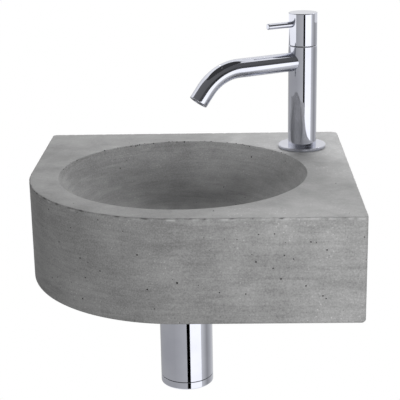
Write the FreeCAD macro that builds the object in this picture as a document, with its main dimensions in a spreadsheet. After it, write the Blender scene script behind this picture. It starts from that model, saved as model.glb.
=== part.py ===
"""Wall-hung concrete hand basin with a pillar tap, a grid waste and a bottle trap.

Millimetres. +Z is up, +Y goes into the wall and +X is to the right for someone at the basin. The origin is on
the back face, midway between the two wall bolts.
"""
import FreeCAD, Part
import os
import re

import Sketcher
from FreeCAD import Vector

# Driving sizes, by the piece that owns them. Angles are in degrees.
SIZES = {
    "Shared clearances": {
        "cut_overrun": 2.0,
        "bond_gap": 0.05,
        "thread_gap": 0.05,
        "slip_gap": 0.1,
        "seal_gap": 0.2,
        "end_gap": 0.3,
        "edge_break": 0.4,
    },
    "Half-inch pipe thread": {
        "pipe_thread_radius": 10.478,
    },
    "Concrete body": {
        "basin_width": 310.0,
        "basin_depth": 301.0,
        "basin_height": 98.0,
        "corner_radius": 147.0,
        "upright_radius": 4.5,
        "foot_radius": 3.5,
        "arris_radius": 1.2,
        "rim_radius": 1.0,
        "left_land": 27.7,
        "right_land": 42.9,
        "front_land": 25.8,
        "rear_land": 35.8,
        "bowl_depth": 66.0,
        "bowl_sweep_radius": 97.0,
        "waste_recess": 3.0,
    },
    "Wall fixing": {
        "fixing_drop": 45.0,
        "fixing_web": 21.3,
        "sleeve_bore": 5.5,
        "sleeve_wall": 2.5,
        "sleeve_length": 60.0,
    },
    "Place of the tap": {
        "tap_side_margin": 41.7,
        "tap_setback": 62.2,
        "tap_slab": 36.0,
        "tap_hole_gap": 4.0,
        "tap_pocket_gap": 7.0,
    },
    "Tap base": {
        "tap_flange_land": 9.85,
        "tap_flange_height": 3.2,
        "tap_flange_rim": 2.4,
        "tap_flange_bevel": 0.6,
        "tap_seal_thickness": 1.2,
    },
    "Tap column": {
        "tap_column_wall": 2.55,
        "tap_column_height": 105.9,
        "waterway_radius": 5.0,
        "chamber_gap": 0.6,
    },
    "Tap shank and its fixings": {
        "shank_step": 1.522,
        "shank_bore": 5.0,
        "shank_grip": 16.0,
        "shank_tail": 8.0,
        "inlet_length": 16.0,
        "tap_washer_land": 13.0,
        "tap_rubber_thickness": 3.0,
        "tap_steel_thickness": 1.5,
        "tap_nut_wall": 3.0,
        "tap_nut_height": 8.0,
    },
    "Spout": {
        "spout_swing": 30.0,
        "spout_drop": 15.9,
        "spout_share": 0.6495,
        "spout_wall": 2.25,
        "spout_web": 0.3,
        "spout_run": 75.8,
        "spout_bend_radius": 48.3,
        "spout_bend": 51.4,
        "spout_tip_run": 13.6,
    },
    "Aerator": {
        "aerator_depth": 11.0,
        "aerator_tip_wall": 1.35,
        "aerator_wall": 1.4,
        "aerator_lip": 0.7,
        "aerator_lip_height": 1.2,
        "aerator_recess": 0.4,
        "aerator_seal_thickness": 1.2,
        "aerator_seal_width": 2.45,
        "aerator_hole_share": 0.1145,
        "aerator_pitch_share": 0.336,
    },
    "Cartridge": {
        "seat_seal_thickness": 2.0,
        "seat_seal_width": 3.5,
        "cartridge_nose_step": 1.478,
        "cartridge_nose_length": 20.0,
        "cartridge_thread_length": 6.0,
        "cartridge_hex_height": 6.0,
        "cartridge_neck_wall": 2.95,
        "cartridge_neck_height": 3.0,
        "cartridge_wall": 1.4,
        "cartridge_cavity_depth": 19.1,
        "window_width": 8.0,
        "window_height": 6.0,
        "window_sill": 9.0,
        "disc_thickness": 3.5,
        "disc_hole_share": 0.3026,
        "disc_reach_share": 0.5658,
        "disc_slot_depth": 1.2,
    },
    "Spindle": {
        "spindle_radius": 4.5,
        "running_gap": 0.05,
        "tongue_gap": 1.3,
        "tongue_width": 3.4,
        "tongue_height": 4.2,
        "collar_gap": 0.6,
        "collar_height": 2.5,
        "ring_section": 0.6,
        "ring_setback": 9.0,
        "clip_stand": 1.7,
        "clip_groove_depth": 1.1,
        "clip_thickness": 1.0,
        "clip_land": 0.8,
        "clip_opening": 40.0,
        "stem_step": 0.5,
        "stem_length": 7.4,
        "stem_flat": 0.8,
    },
    "Handle": {
        "handle_gap": 0.6,
        "handle_height": 32.6,
        "handle_wall": 1.5,
        "handle_well_gap": 1.3,
        "handle_top_bevel": 0.6,
        "lever_level": 21.4,
        "lever_radius": 3.0,
        "lever_length": 27.4,
        "lever_seat": 1.1,
        "lever_spigot_step": 0.55,
        "lever_spigot_length": 7.5,
        "handle_screw_radius": 2.0,
        "handle_screw_recess": 2.5,
        "handle_screw_socket": 1.15,
        "handle_screw_socket_depth": 2.2,
    },
    "Waste": {
        "waste_flange_overhang": 10.545,
        "waste_flange_height": 4.0,
        "waste_flange_bevel": 2.4,
        "waste_seat_gap": 1.0,
        "waste_hole_gap": 1.5,
        "waste_gasket_thickness": 2.0,
        "waste_tail_radius": 20.955,
        "waste_tail_wall": 2.455,
        "waste_bridge_wall": 0.95,
        "waste_bridge_height": 6.0,
        "waste_bridge_drop": 9.0,
        "waste_grid_rim": 5.1,
        "waste_grid_thickness": 1.6,
        "waste_grid_hole": 2.5,
        "waste_grid_hub": 2.4,
        "waste_grid_web": 1.5,
        "waste_screw_radius": 2.5,
        "waste_screw_land": 2.1,
        "waste_screw_head_height": 2.0,
        "waste_screw_grip": 5.0,
        "waste_screw_slot": 1.1,
        "waste_screw_slot_depth": 1.0,
        "lower_gasket_land": 11.045,
        "lower_gasket_thickness": 4.0,
        "waste_washer_thickness": 1.5,
        "waste_nut_wall": 5.0,
        "waste_nut_height": 8.0,
    },
    "Trap": {
        "trap_drop": 121.3,
        "trap_radius": 26.3,
        "trap_wall": 2.2,
        "trap_roof": 2.5,
        "trap_shoulder_bevel": 1.2,
        "trap_cap_height": 7.6,
        "trap_cap_bevel": 1.2,
        "trap_cap_floor": 3.0,
        "trap_cap_wall": 2.5,
        "trap_cap_thread": 8.0,
        "trap_cap_slot": 4.0,
        "trap_cap_slot_length": 26.0,
        "trap_cap_slot_depth": 1.6,
        "trap_cap_seal_thickness": 0.8,
        "trap_cap_seal_inset": 0.5,
        "inlet_seal_thickness": 2.0,
        "dip_step": 5.955,
        "dip_wall": 1.5,
        "dip_flange_thickness": 1.5,
        "dip_clearance": 14.0,
        "neck_flange_thickness": 3.0,
        "neck_wall": 2.4,
        "neck_waist": 5.5,
        "inlet_nut_wall": 4.0,
        "inlet_nut_lip": 2.5,
        "inlet_nut_grip": 10.9,
        "coupling_gap": 1.6,
    },
    "Trap outlet": {
        "outlet_cover": 1.5,
        "outlet_bore": 16.2,
        "outlet_wall": 3.8,
        "outlet_stop_step": 2.2,
        "outlet_reach": 17.7,
        "outlet_socket": 14.0,
        "outlet_seal_thickness": 4.2,
        "outlet_nut_wall": 4.0,
        "outlet_nut_lip": 3.0,
        "outlet_nut_grip": 11.0,
    },
}

GRID_INNER_HOLES = 6
GRID_OUTER_HOLES = 12
AERATOR_RING_HOLES = (6, 12)
# Hole rings start off the sketch axes, so that no hole's coordinate is zero.
RING_START = 15

# Places that follow from the sizes. Heights of the tap are above the rim, the trap's are below the underside.
UNDERSIDE = "(fixing_drop - basin_height)"
BOWL_RADIUS = "(min(basin_width - left_land - right_land; basin_depth - front_land - rear_land) / 2)"
BOWL_X = f"(left_land + {BOWL_RADIUS} - basin_width / 2)"
BOWL_Y = f"(front_land + {BOWL_RADIUS} - basin_depth)"
TAP_X = "(basin_width / 2 - tap_side_margin)"

SHANK_RADIUS = "(pipe_thread_radius + shank_step)"
TAP_HOLE = f"({SHANK_RADIUS} + tap_hole_gap)"
TAP_WASHER_RADIUS = f"({SHANK_RADIUS} + tap_washer_land)"
TAP_POCKET_RADIUS = f"({TAP_WASHER_RADIUS} + tap_pocket_gap)"
TAP_NUT_CORNER = f"(({SHANK_RADIUS} + tap_nut_wall) * 2 / sqrt(3))"
COLUMN_RADIUS = f"({SHANK_RADIUS} + tap_column_wall)"
TAP_FLANGE_RADIUS = f"({COLUMN_RADIUS} + tap_flange_land)"

SLEEVE_RADIUS = "(sleeve_bore + sleeve_wall)"
FIXING_X = f"({TAP_X} - {TAP_POCKET_RADIUS} - fixing_web)"

SPOUT_RADIUS = f"({COLUMN_RADIUS} * spout_share)"
SPOUT_BORE = f"({SPOUT_RADIUS} - spout_wall)"
AERATOR_RADIUS = f"({SPOUT_RADIUS} - aerator_tip_wall)"
SPOUT_ROOT = "(pipe_thread_radius + thread_gap + spout_web)"
SPOUT_RISE = "(tap_column_height - spout_drop)"
TIP_OUT = ("(spout_run + spout_bend_radius * sin(spout_bend * 1 deg)"
           " + spout_tip_run * cos(spout_bend * 1 deg))")
TIP_RISE = (f"({SPOUT_RISE} - spout_bend_radius * (1 - cos(spout_bend * 1 deg))"
            " - spout_tip_run * sin(spout_bend * 1 deg))")

NOSE_RADIUS = "(pipe_thread_radius - cartridge_nose_step)"
CAVITY_RADIUS = f"({NOSE_RADIUS} - cartridge_wall)"
NECK_RADIUS = "(spindle_radius + running_gap + cartridge_neck_wall)"
STEM_RADIUS = "(spindle_radius - stem_step)"
THREAD_START = "(tap_column_height - cartridge_thread_length)"
NOSE_END = f"({THREAD_START} - cartridge_nose_length)"
CHAMBER_FLOOR = f"({NOSE_END} - seat_seal_thickness)"
HANDLE_FOOT = "(tap_column_height + handle_gap)"
SPINDLE_FOOT = f"({NOSE_END} + 2 * disc_thickness - disc_slot_depth + running_gap)"
NECK_TOP = "(tap_column_height + cartridge_hex_height + cartridge_neck_height)"
STEM_START = f"({NECK_TOP} + slip_gap + clip_thickness + slip_gap + clip_land)"
STEM_TOP = f"({STEM_START} + stem_length)"
HEX_CORNER = f"({COLUMN_RADIUS} - handle_wall - end_gap)"

WASTE_BORE = "(waste_tail_radius - waste_tail_wall)"
WASTE_HOLE = "(waste_tail_radius + waste_hole_gap)"
WASTE_FLANGE_RADIUS = "(waste_tail_radius + waste_flange_overhang)"
WASTE_SEAT_RADIUS = f"({WASTE_FLANGE_RADIUS} + waste_seat_gap)"
WASTE_SCREW_HEAD = "(waste_screw_radius + waste_screw_land)"
WASTE_NUT_CORNER = "((waste_tail_radius + waste_nut_wall) * 2 / sqrt(3))"
LOWER_GASKET_RADIUS = "(waste_tail_radius + lower_gasket_land)"
NUT_END = "(lower_gasket_thickness + waste_washer_thickness + waste_nut_height)"
TAIL_END = f"({NUT_END} + coupling_gap + inlet_nut_grip)"
DIP_RADIUS = "(waste_tail_radius - dip_step)"
DIP_TOP = f"({TAIL_END} + inlet_seal_thickness)"
NECK_HEAD = f"({DIP_TOP} + dip_flange_thickness)"
TRAP_TOP = f"({NECK_HEAD} + neck_flange_thickness + neck_waist)"
TRAP_FOOT = "(trap_drop - trap_cap_height - trap_cap_seal_thickness)"
OUTLET_RADIUS = "(outlet_bore + outlet_wall)"
OUTLET_DROP = f"({OUTLET_RADIUS} + outlet_cover)"
OUTLET_END = "(trap_radius + outlet_reach)"

PLANES = {"front": "XZ_Plane", "plan": "XY_Plane", "side": "YZ_Plane"}

doc = FreeCAD.newDocument("hand_basin")
sheet = doc.addObject("Spreadsheet::Sheet", "sizes")
pieces = []


def fill_sheet():
    """Write each group of sizes into the sheet, one named cell per size."""
    row = 1
    for group, sizes in SIZES.items():
        sheet.set(f"A{row}", group)
        row += 1
        for name, size in sizes.items():
            sheet.set(f"A{row}", name)
            sheet.set(f"B{row}", str(size))
            sheet.setAlias(f"B{row}", name)
            row += 1
    doc.recompute()


def bound(text):
    """Point each size named in an expression at its cell."""
    return re.sub(r"\b[a-z]+(?:_[a-z]+)+\b", r"sizes.\g<0>", text)


def value(text):
    """Work out an expression of sizes as a number."""
    found = sheet.evalExpression(bound(text))
    return float(getattr(found, "Value", found))


def bind(thing, name, text):
    """Tie one property to an expression of sizes."""
    thing.setExpression(name, bound(text))


def frame(x="0", y="0", z="0", axis="0; 0; 1", angle="0"):
    """Write a placement as an expression of sizes."""
    return f"placement(vector({x}; {y}; {z}); rotation(vector({axis}); {angle}))"


# The tap's frame has its X along the spout. The drain's frame is under the bowl, at the underside.
TAP = frame(TAP_X, "-tap_setback", "fixing_drop", angle="180 + spout_swing")
DRAIN = frame(BOWL_X, BOWL_Y, UNDERSIDE)
TIP = f"{TAP} * {frame(TIP_OUT, '0', TIP_RISE, '0; 1; 0', '90 + spout_bend')}"


def above_rim(height):
    """Place a tap piece at a height over the rim."""
    return f"{TAP} * {frame(z=height)}"


def below_basin(drop):
    """Place a drain piece at a drop under the basin."""
    return f"{DRAIN} * {frame(z=f'-{drop}')}"


def new_body(label):
    """Start a piece."""
    body = doc.addObject("PartDesign::Body", label)
    body.Label = label
    return body


def finish(piece, where=None):
    """Place a piece and put it on the list of those that are written out."""
    if where:
        bind(piece, "Placement", where)
    pieces.append(piece)


def add_sketch(body, name, plane, shift=("0", "0", "0")):
    """Lay a sketch on one of the body's own planes, moved along the sketch's axes."""
    sketch = body.newObject("Sketcher::SketchObject", f"{body.Label}_{name}_sketch")
    support = next(item for item in body.Origin.OriginFeatures if item.Role == PLANES[plane])
    sketch.AttachmentSupport = [(support, "")]
    sketch.MapMode = "FlatFace"
    for axis, text in zip("xyz", shift):
        if text != "0":
            bind(sketch, f"AttachmentOffset.Base.{axis}", text)
    return sketch


def limit(sketch, kind, *items, text):
    """Add one sketch constraint whose value follows the sizes."""
    index = sketch.addConstraint(Sketcher.Constraint(kind, *items, value(text)))
    bind(sketch, f"Constraints[{index}]", text)


def pin(sketch, line, end, u, v):
    """Hold one point of a sketch at its two distances from the sketch's origin."""
    for kind, axis, text in (("DistanceX", -2, u), ("DistanceY", -1, v)):
        if text == "0":
            sketch.addConstraint(Sketcher.Constraint("PointOnObject", line, end, axis))
        else:
            limit(sketch, kind, -1, 1, line, end, text=text)


def draw_outline(sketch, points):
    """Draw a closed outline of straight sides."""
    spots = [Vector(value(u), value(v), 0) for u, v in points]
    for start, end in zip(spots, spots[1:] + spots[:1]):
        sketch.addGeometry(Part.LineSegment(start, end), False)
    for side, (u, v) in enumerate(points):
        sketch.addConstraint(Sketcher.Constraint("Coincident", side, 2, (side + 1) % len(points), 1))
        pin(sketch, side, 1, u, v)


def draw_circle(sketch, u, v, radius):
    """Draw a circle about a point."""
    centre = Vector(value(u), value(v), 0)
    index = sketch.addGeometry(Part.Circle(centre, Vector(0, 0, 1), value(radius)), False)
    pin(sketch, index, 3, u, v)
    limit(sketch, "Radius", index, text=radius)


def draw_ring_of_holes(sketch, count, ring, radius):
    """Draw equal circles, evenly spaced on a ring."""
    for index in range(count):
        angle = f"{RING_START + 360 / count * index} deg"
        draw_circle(sketch, f"{ring} * cos({angle})", f"{ring} * sin({angle})", radius)


def box_points(u_low, u_high, v_low, v_high):
    """List the corners of an upright rectangle."""
    return [(u_low, v_low), (u_high, v_low), (u_high, v_high), (u_low, v_high)]


def centred_points(u_size, v_size):
    """List the corners of a rectangle about the sketch's origin."""
    return box_points(f"-{u_size} / 2", f"{u_size} / 2", f"-{v_size} / 2", f"{v_size} / 2")


def revolve(body, name, sketch, cut=False, angle=360):
    """Turn a sketch about its own upright axis, as material or as a cut."""
    kind = "PartDesign::Groove" if cut else "PartDesign::Revolution"
    feature = body.newObject(kind, f"{body.Label}_{name}")
    feature.Profile = sketch
    feature.ReferenceAxis = (sketch, ["V_Axis"])
    feature.Angle = angle
    return feature


def turn(body, name, points, cut=False, shift=("0", "0", "0")):
    """Turn an outline of radius and height about the body's axis."""
    sketch = add_sketch(body, name, "front", shift)
    draw_outline(sketch, points)
    return revolve(body, name, sketch, cut)


def extrude(body, name, sketch, length, cut=False, flip=False, both_ways=False):
    """Push a sketch out by a length, as material or as a cut."""
    kind = "PartDesign::Pocket" if cut else "PartDesign::Pad"
    feature = body.newObject(kind, f"{body.Label}_{name}")
    feature.Profile = sketch
    bind(feature, "Length", length)
    feature.Reversed = flip
    feature.Midplane = both_ways
    return feature


def round_edges(body, name, base, radius, wanted):
    """Fillet the edges of a feature that answer to a test."""
    doc.recompute()
    names = [f"Edge{index}" for index, edge in enumerate(base.Shape.Edges, 1) if wanted(edge)]
    feature = body.newObject("PartDesign::Fillet", f"{body.Label}_{name}")
    feature.Base = (base, names)
    bind(feature, "Radius", radius)
    return feature


def turned_piece(label, points, where):
    """Make a piece that is one turned outline."""
    body = new_body(label)
    turn(body, "profile", points)
    finish(body, where)
    return body


def washer(label, inner, outer, thickness, where):
    """Make a flat ring that stands on its local zero."""
    return turned_piece(label, box_points(inner, outer, "0", thickness), where)


def add_hexagon(body, name, corner, height, lift="0"):
    """Add a hexagonal prism on the body's axis."""
    prism = body.newObject("PartDesign::AdditivePrism", f"{body.Label}_{name}")
    support = next(item for item in body.Origin.OriginFeatures if item.Role == PLANES["plan"])
    prism.AttachmentSupport = [(support, "")]
    prism.MapMode = "FlatFace"
    prism.Polygon = 6
    bind(prism, "Circumradius", corner)
    bind(prism, "Height", height)
    if lift != "0":
        bind(prism, "AttachmentOffset.Base.z", lift)
    return prism


def hex_nut(label, corner, height, bore, where):
    """Make a hexagonal nut with turned-off corners on both faces."""
    body = new_body(label)
    add_hexagon(body, "blank", corner, height)
    turn(body, "bore", box_points("0", bore, "0", height), cut=True)
    flat = f"({corner} * sqrt(3) / 2)"
    reach = f"({corner} + cut_overrun)"
    drop = f"(({reach} - {flat}) * tan(30 deg))"
    turn(body, "top_bevel", [(flat, height), (reach, height), (reach, f"{height} - {drop}")], cut=True)
    turn(body, "foot_bevel", [(flat, "0"), (reach, "0"), (reach, drop)], cut=True)
    finish(body, where)


def draw_basin_outline(sketch):
    """Draw the plan: square corners but for the front left one, which is a large quarter circle."""
    half = "basin_width / 2"
    centre_u = f"corner_radius - {half}"
    centre_v = "corner_radius - basin_depth"
    corners = [(f"-{half}", "0"), (half, "0"), (half, "-basin_depth"), (centre_u, "-basin_depth"),
               (f"-{half}", centre_v)]
    spots = [Vector(value(u), value(v), 0) for u, v in corners]
    for start, end in ((0, 1), (1, 2), (2, 3), (4, 0)):
        sketch.addGeometry(Part.LineSegment(spots[start], spots[end]), False)
    middle = Vector(value(centre_u), value(centre_v), 0)
    circle = Part.Circle(middle, Vector(0, 0, 1), value("corner_radius"))
    start_angle = circle.parameter(spots[4])
    end_angle = circle.parameter(spots[3])
    sketch.addGeometry(Part.ArcOfCircle(circle, start_angle, end_angle), False)
    for first, second in ((0, 1), (1, 2)):
        sketch.addConstraint(Sketcher.Constraint("Coincident", first, 2, second, 1))
    sketch.addConstraint(Sketcher.Constraint("Coincident", 3, 2, 0, 1))
    sketch.addConstraint(Sketcher.Constraint("Coincident", 4, 1, 3, 1))
    sketch.addConstraint(Sketcher.Constraint("Tangent", 2, 2, 4, 2))
    for line, (u, v) in ((0, corners[0]), (1, corners[1]), (2, corners[2]), (3, corners[4])):
        pin(sketch, line, 1, u, v)
    pin(sketch, 2, 2, *corners[3])


def draw_bowl(sketch):
    """Draw half of the bowl with the waste's seat and hole, from a level one overrun under the basin."""
    rim = "(cut_overrun + basin_height)"
    floor = f"({rim} - bowl_depth)"
    seat = f"({floor} - waste_recess)"
    above = f"({rim} + cut_overrun)"
    points = [(WASTE_SEAT_RADIUS, floor), (WASTE_SEAT_RADIUS, seat), (WASTE_HOLE, seat), (WASTE_HOLE, "0"),
              ("0", "0"), ("0", above), (BOWL_RADIUS, above), (BOWL_RADIUS, rim)]
    spots = [Vector(value(u), value(v), 0) for u, v in points]
    for start, end in zip(spots, spots[1:]):
        sketch.addGeometry(Part.LineSegment(start, end), False)
    last = len(points) - 2
    for side, (u, v) in enumerate(points[:-1]):
        pin(sketch, side, 1, u, v)
        if side < last:
            sketch.addConstraint(Sketcher.Constraint("Coincident", side, 2, side + 1, 1))
    pin(sketch, last, 2, *points[-1])
    chord = spots[0] - spots[-1]
    away = Vector(chord.y, -chord.x, 0).normalize()
    sweep = value("bowl_sweep_radius")
    middle = (spots[0] + spots[-1]) * 0.5 + away * (sweep ** 2 - chord.Length ** 2 / 4) ** 0.5
    circle = Part.Circle(middle, Vector(0, 0, 1), sweep)
    arc = Part.ArcOfCircle(circle, circle.parameter(spots[0]), circle.parameter(spots[-1]))
    index = sketch.addGeometry(arc, False)
    sketch.addConstraint(Sketcher.Constraint("Coincident", index, 1, 0, 1))
    sketch.addConstraint(Sketcher.Constraint("Coincident", index, 2, last, 2))
    limit(sketch, "Radius", index, text="bowl_sweep_radius")


def make_basin():
    """Cast the concrete: block, bowl, tap hole with its nut pocket, and wall bores."""
    body = new_body("basin_body")
    plan = add_sketch(body, "plan", "plan", ("0", "0", UNDERSIDE))
    draw_basin_outline(plan)
    block = extrude(body, "block", plan, "basin_height")

    def on_level(edge, text):
        level = value(text)
        return all(abs(vertex.Z - level) < Part.Precision.approximation() for vertex in edge.Vertexes)

    def square_upright(edge):
        ends = [vertex.Point for vertex in edge.Vertexes]
        upright = abs(ends[0].z - ends[-1].z) > value("basin_height / 2")
        return upright and not any(abs(face.Surface.Radius - value("corner_radius")) < value("edge_break")
                                   for face in touching(block.Shape, edge) if hasattr(face.Surface, "Radius"))

    rounded = round_edges(body, "uprights", block, "upright_radius", square_upright)
    rounded = round_edges(body, "foot", rounded, "foot_radius", lambda edge: on_level(edge, UNDERSIDE))
    round_edges(body, "arris", rounded, "arris_radius", lambda edge: on_level(edge, "fixing_drop"))

    half_bowl = add_sketch(body, "bowl", "front", (BOWL_X, f"{UNDERSIDE} - cut_overrun", f"-{BOWL_Y}"))
    draw_bowl(half_bowl)
    bowl = revolve(body, "bowl", half_bowl, cut=True)

    def bowl_rim(edge):
        off = abs(getattr(edge.Curve, "Radius", 0) - value(BOWL_RADIUS))
        return on_level(edge, "fixing_drop") and off < Part.Precision.approximation()

    round_edges(body, "rim", bowl, "rim_radius", bowl_rim)

    ceiling = "(basin_height - tap_slab + cut_overrun)"
    through = "(basin_height + 2 * cut_overrun)"
    turn(body, "tap_hole", [("0", "0"), (TAP_POCKET_RADIUS, "0"), (TAP_POCKET_RADIUS, ceiling),
                            (TAP_HOLE, ceiling), (TAP_HOLE, through), ("0", through)],
         cut=True, shift=(TAP_X, f"{UNDERSIDE} - cut_overrun", "tap_setback"))

    bores = add_sketch(body, "bores", "front")
    for side in ("-", ""):
        draw_circle(bores, side + FIXING_X, "0", f"{SLEEVE_RADIUS} + bond_gap")
    extrude(body, "bores", bores, "sleeve_length + bond_gap", cut=True, flip=True)
    finish(body)


def touching(shape, edge):
    """List the faces of a shape that share an edge."""
    return [face for face in shape.Faces if any(edge.isSame(other) for other in face.Edges)]


def make_sleeves():
    """Two steel sleeves in the back, each a tube for a wall bolt."""
    body = new_body("fixing_sleeves")
    rings = add_sketch(body, "rings", "front")
    for side in ("-", ""):
        draw_circle(rings, side + FIXING_X, "0", SLEEVE_RADIUS)
        draw_circle(rings, side + FIXING_X, "0", "sleeve_bore")
    extrude(body, "tubes", rings, "sleeve_length")
    finish(body)


def make_tap_base():
    """Seal and flange on the rim, which carry the column over its hole, and the fixings under the slab."""
    inside = f"({TAP_FLANGE_RADIUS} - tap_flange_rim)"
    washer("tap_base_seal", f"{SHANK_RADIUS} + seal_gap", f"{inside} - seal_gap", "tap_seal_thickness",
           above_rim("0"))

    bore = f"({SHANK_RADIUS} + slip_gap)"
    turned_piece("tap_base_flange", [
        (bore, "tap_seal_thickness"), (inside, "tap_seal_thickness"), (inside, "slip_gap"),
        (TAP_FLANGE_RADIUS, "slip_gap"), (TAP_FLANGE_RADIUS, "tap_flange_height - tap_flange_bevel"),
        (f"{TAP_FLANGE_RADIUS} - tap_flange_bevel", "tap_flange_height"), (bore, "tap_flange_height"),
    ], above_rim("0"))

    under_rubber = "(tap_slab + tap_rubber_thickness)"
    under_steel = f"({under_rubber} + tap_steel_thickness)"
    under_nut = f"({under_steel} + tap_nut_height)"
    washer("tap_rubber_washer", bore, TAP_WASHER_RADIUS, "tap_rubber_thickness",
           above_rim(f"-{under_rubber}"))
    washer("tap_steel_washer", bore, f"{TAP_WASHER_RADIUS} - edge_break", "tap_steel_thickness",
           above_rim(f"-{under_steel}"))
    hex_nut("tap_backnut", TAP_NUT_CORNER, "tap_nut_height", f"({SHANK_RADIUS} + thread_gap)",
            above_rim(f"-{under_nut}"))

    tail_end = f"({under_nut} + shank_tail + inlet_length)"
    length = f"({tail_end} + tap_flange_height + shank_grip)"
    turned_piece("tap_shank", [
        ("shank_bore", "0"), ("pipe_thread_radius - edge_break", "0"), ("pipe_thread_radius", "edge_break"),
        ("pipe_thread_radius", "inlet_length"), (SHANK_RADIUS, "inlet_length"), (SHANK_RADIUS, length),
        ("shank_bore", length),
    ], above_rim(f"-{tail_end}"))


def make_column():
    """The tap's body: shank socket, waterway, cartridge chamber and the spout's socket."""
    body = new_body("tap_column")
    socket = f"({SHANK_RADIUS} + thread_gap)"
    socket_top = "(tap_flange_height + shank_grip + end_gap)"
    chamber = f"({NOSE_RADIUS} + chamber_gap)"
    thread = "(pipe_thread_radius + thread_gap)"
    turn(body, "wall", [
        (socket, "tap_flange_height"), (COLUMN_RADIUS, "tap_flange_height"),
        (COLUMN_RADIUS, "tap_column_height - edge_break"),
        (f"{COLUMN_RADIUS} - edge_break", "tap_column_height"), (thread, "tap_column_height"),
        (thread, THREAD_START), (chamber, THREAD_START), (chamber, CHAMBER_FLOOR),
        ("waterway_radius", CHAMBER_FLOOR), ("waterway_radius", socket_top), (socket, socket_top),
    ])
    seat = add_sketch(body, "spout_socket", "side", ("0", "0", SPOUT_ROOT))
    draw_circle(seat, "0", SPOUT_RISE, f"{SPOUT_RADIUS} + bond_gap")
    outward = f"{COLUMN_RADIUS} - {SPOUT_ROOT} + cut_overrun"
    extrude(body, "spout_socket", seat, outward, cut=True, flip=True)
    port = add_sketch(body, "spout_port", "side", ("0", "0", SPOUT_ROOT))
    draw_circle(port, "0", SPOUT_RISE, SPOUT_BORE)
    extrude(body, "spout_port", port, SPOUT_ROOT, cut=True)
    finish(body, above_rim("0"))


def make_spout():
    """A tube along a straight run, a bend and a short straight tip, with the aerator's socket in its end."""
    body = new_body("spout_tube")
    path = add_sketch(body, "path", "front")
    bend = value("spout_bend * 1 deg") * FreeCAD.Units.Quantity("1 deg").getValueAs("rad").Value
    start = Vector(value(SPOUT_ROOT), value(SPOUT_RISE), 0)
    knee = Vector(value("spout_run"), value(SPOUT_RISE), 0)
    sweep = value("spout_bend_radius")
    circle = Part.Circle(knee - Vector(0, sweep, 0), Vector(0, 0, 1), sweep)
    top = circle.parameter(knee)
    ankle = circle.value(top - bend)
    tip = Vector(value(TIP_OUT), value(TIP_RISE), 0)
    path.addGeometry(Part.LineSegment(start, knee), False)
    path.addGeometry(Part.ArcOfCircle(circle, top - bend, top), False)
    path.addGeometry(Part.LineSegment(ankle, tip), False)
    pin(path, 0, 1, SPOUT_ROOT, SPOUT_RISE)
    pin(path, 0, 2, "spout_run", SPOUT_RISE)
    path.addConstraint(Sketcher.Constraint("Tangent", 0, 2, 1, 2))
    path.addConstraint(Sketcher.Constraint("Tangent", 1, 1, 2, 1))
    limit(path, "Radius", 1, text="spout_bend_radius")
    limit(path, "DistanceX", -1, 1, 1, 1, text="spout_run + spout_bend_radius * sin(spout_bend * 1 deg)")
    limit(path, "Distance", 2, text="spout_tip_run")
    section = add_sketch(body, "section", "side", ("0", "0", SPOUT_ROOT))
    draw_circle(section, "0", SPOUT_RISE, SPOUT_RADIUS)
    draw_circle(section, "0", SPOUT_RISE, SPOUT_BORE)
    tube = body.newObject("PartDesign::AdditivePipe", "spout_tube_sweep")
    tube.Profile = section
    tube.Spine = path
    bind(body, "Placement", TAP)

    socket = doc.addObject("Part::Cylinder", "aerator_socket")
    bind(socket, "Radius", AERATOR_RADIUS)
    bind(socket, "Height", "aerator_depth + cut_overrun")
    bind(socket, "Placement", f"{TIP} * {frame(z='-aerator_depth')}")
    spout = doc.addObject("Part::Cut", "tap_spout")
    spout.Label = "tap_spout"
    spout.Base = body
    spout.Tool = socket
    finish(spout)


def make_aerator():
    """Seal, threaded housing and perforated core in the spout's end."""
    inner_end = f"{TIP} * {frame(z='-aerator_depth')}"
    on_seal = f"{inner_end} * {frame(z='aerator_seal_thickness')}"
    outer = f"({AERATOR_RADIUS} - thread_gap)"
    bore = f"({outer} - aerator_wall)"
    length = "(aerator_depth - aerator_seal_thickness - aerator_recess)"
    shelf = f"({length} - aerator_lip_height)"
    sealed = f"({outer} - seal_gap)"
    washer("aerator_seal", f"{sealed} - aerator_seal_width", sealed, "aerator_seal_thickness", inner_end)
    turned_piece("aerator_housing", [
        (bore, "0"), (outer, "0"), (outer, f"{length} - edge_break"), (f"{outer} - edge_break", length),
        (f"{bore} - aerator_lip", length), (f"{bore} - aerator_lip", shelf), (bore, shelf),
    ], on_seal)

    core = new_body("aerator_core")
    plug = f"({bore} - slip_gap)"
    turn(core, "plug", box_points("0", plug, "0", shelf))
    hole = f"({plug} * aerator_hole_share)"
    holes = add_sketch(core, "holes", "plan")
    draw_circle(holes, "0", "0", hole)
    for ring, count in enumerate(AERATOR_RING_HOLES, 1):
        draw_ring_of_holes(holes, count, f"{ring} * {plug} * aerator_pitch_share", hole)
    extrude(core, "holes", holes, shelf, cut=True, flip=True)
    finish(core, on_seal)


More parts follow.
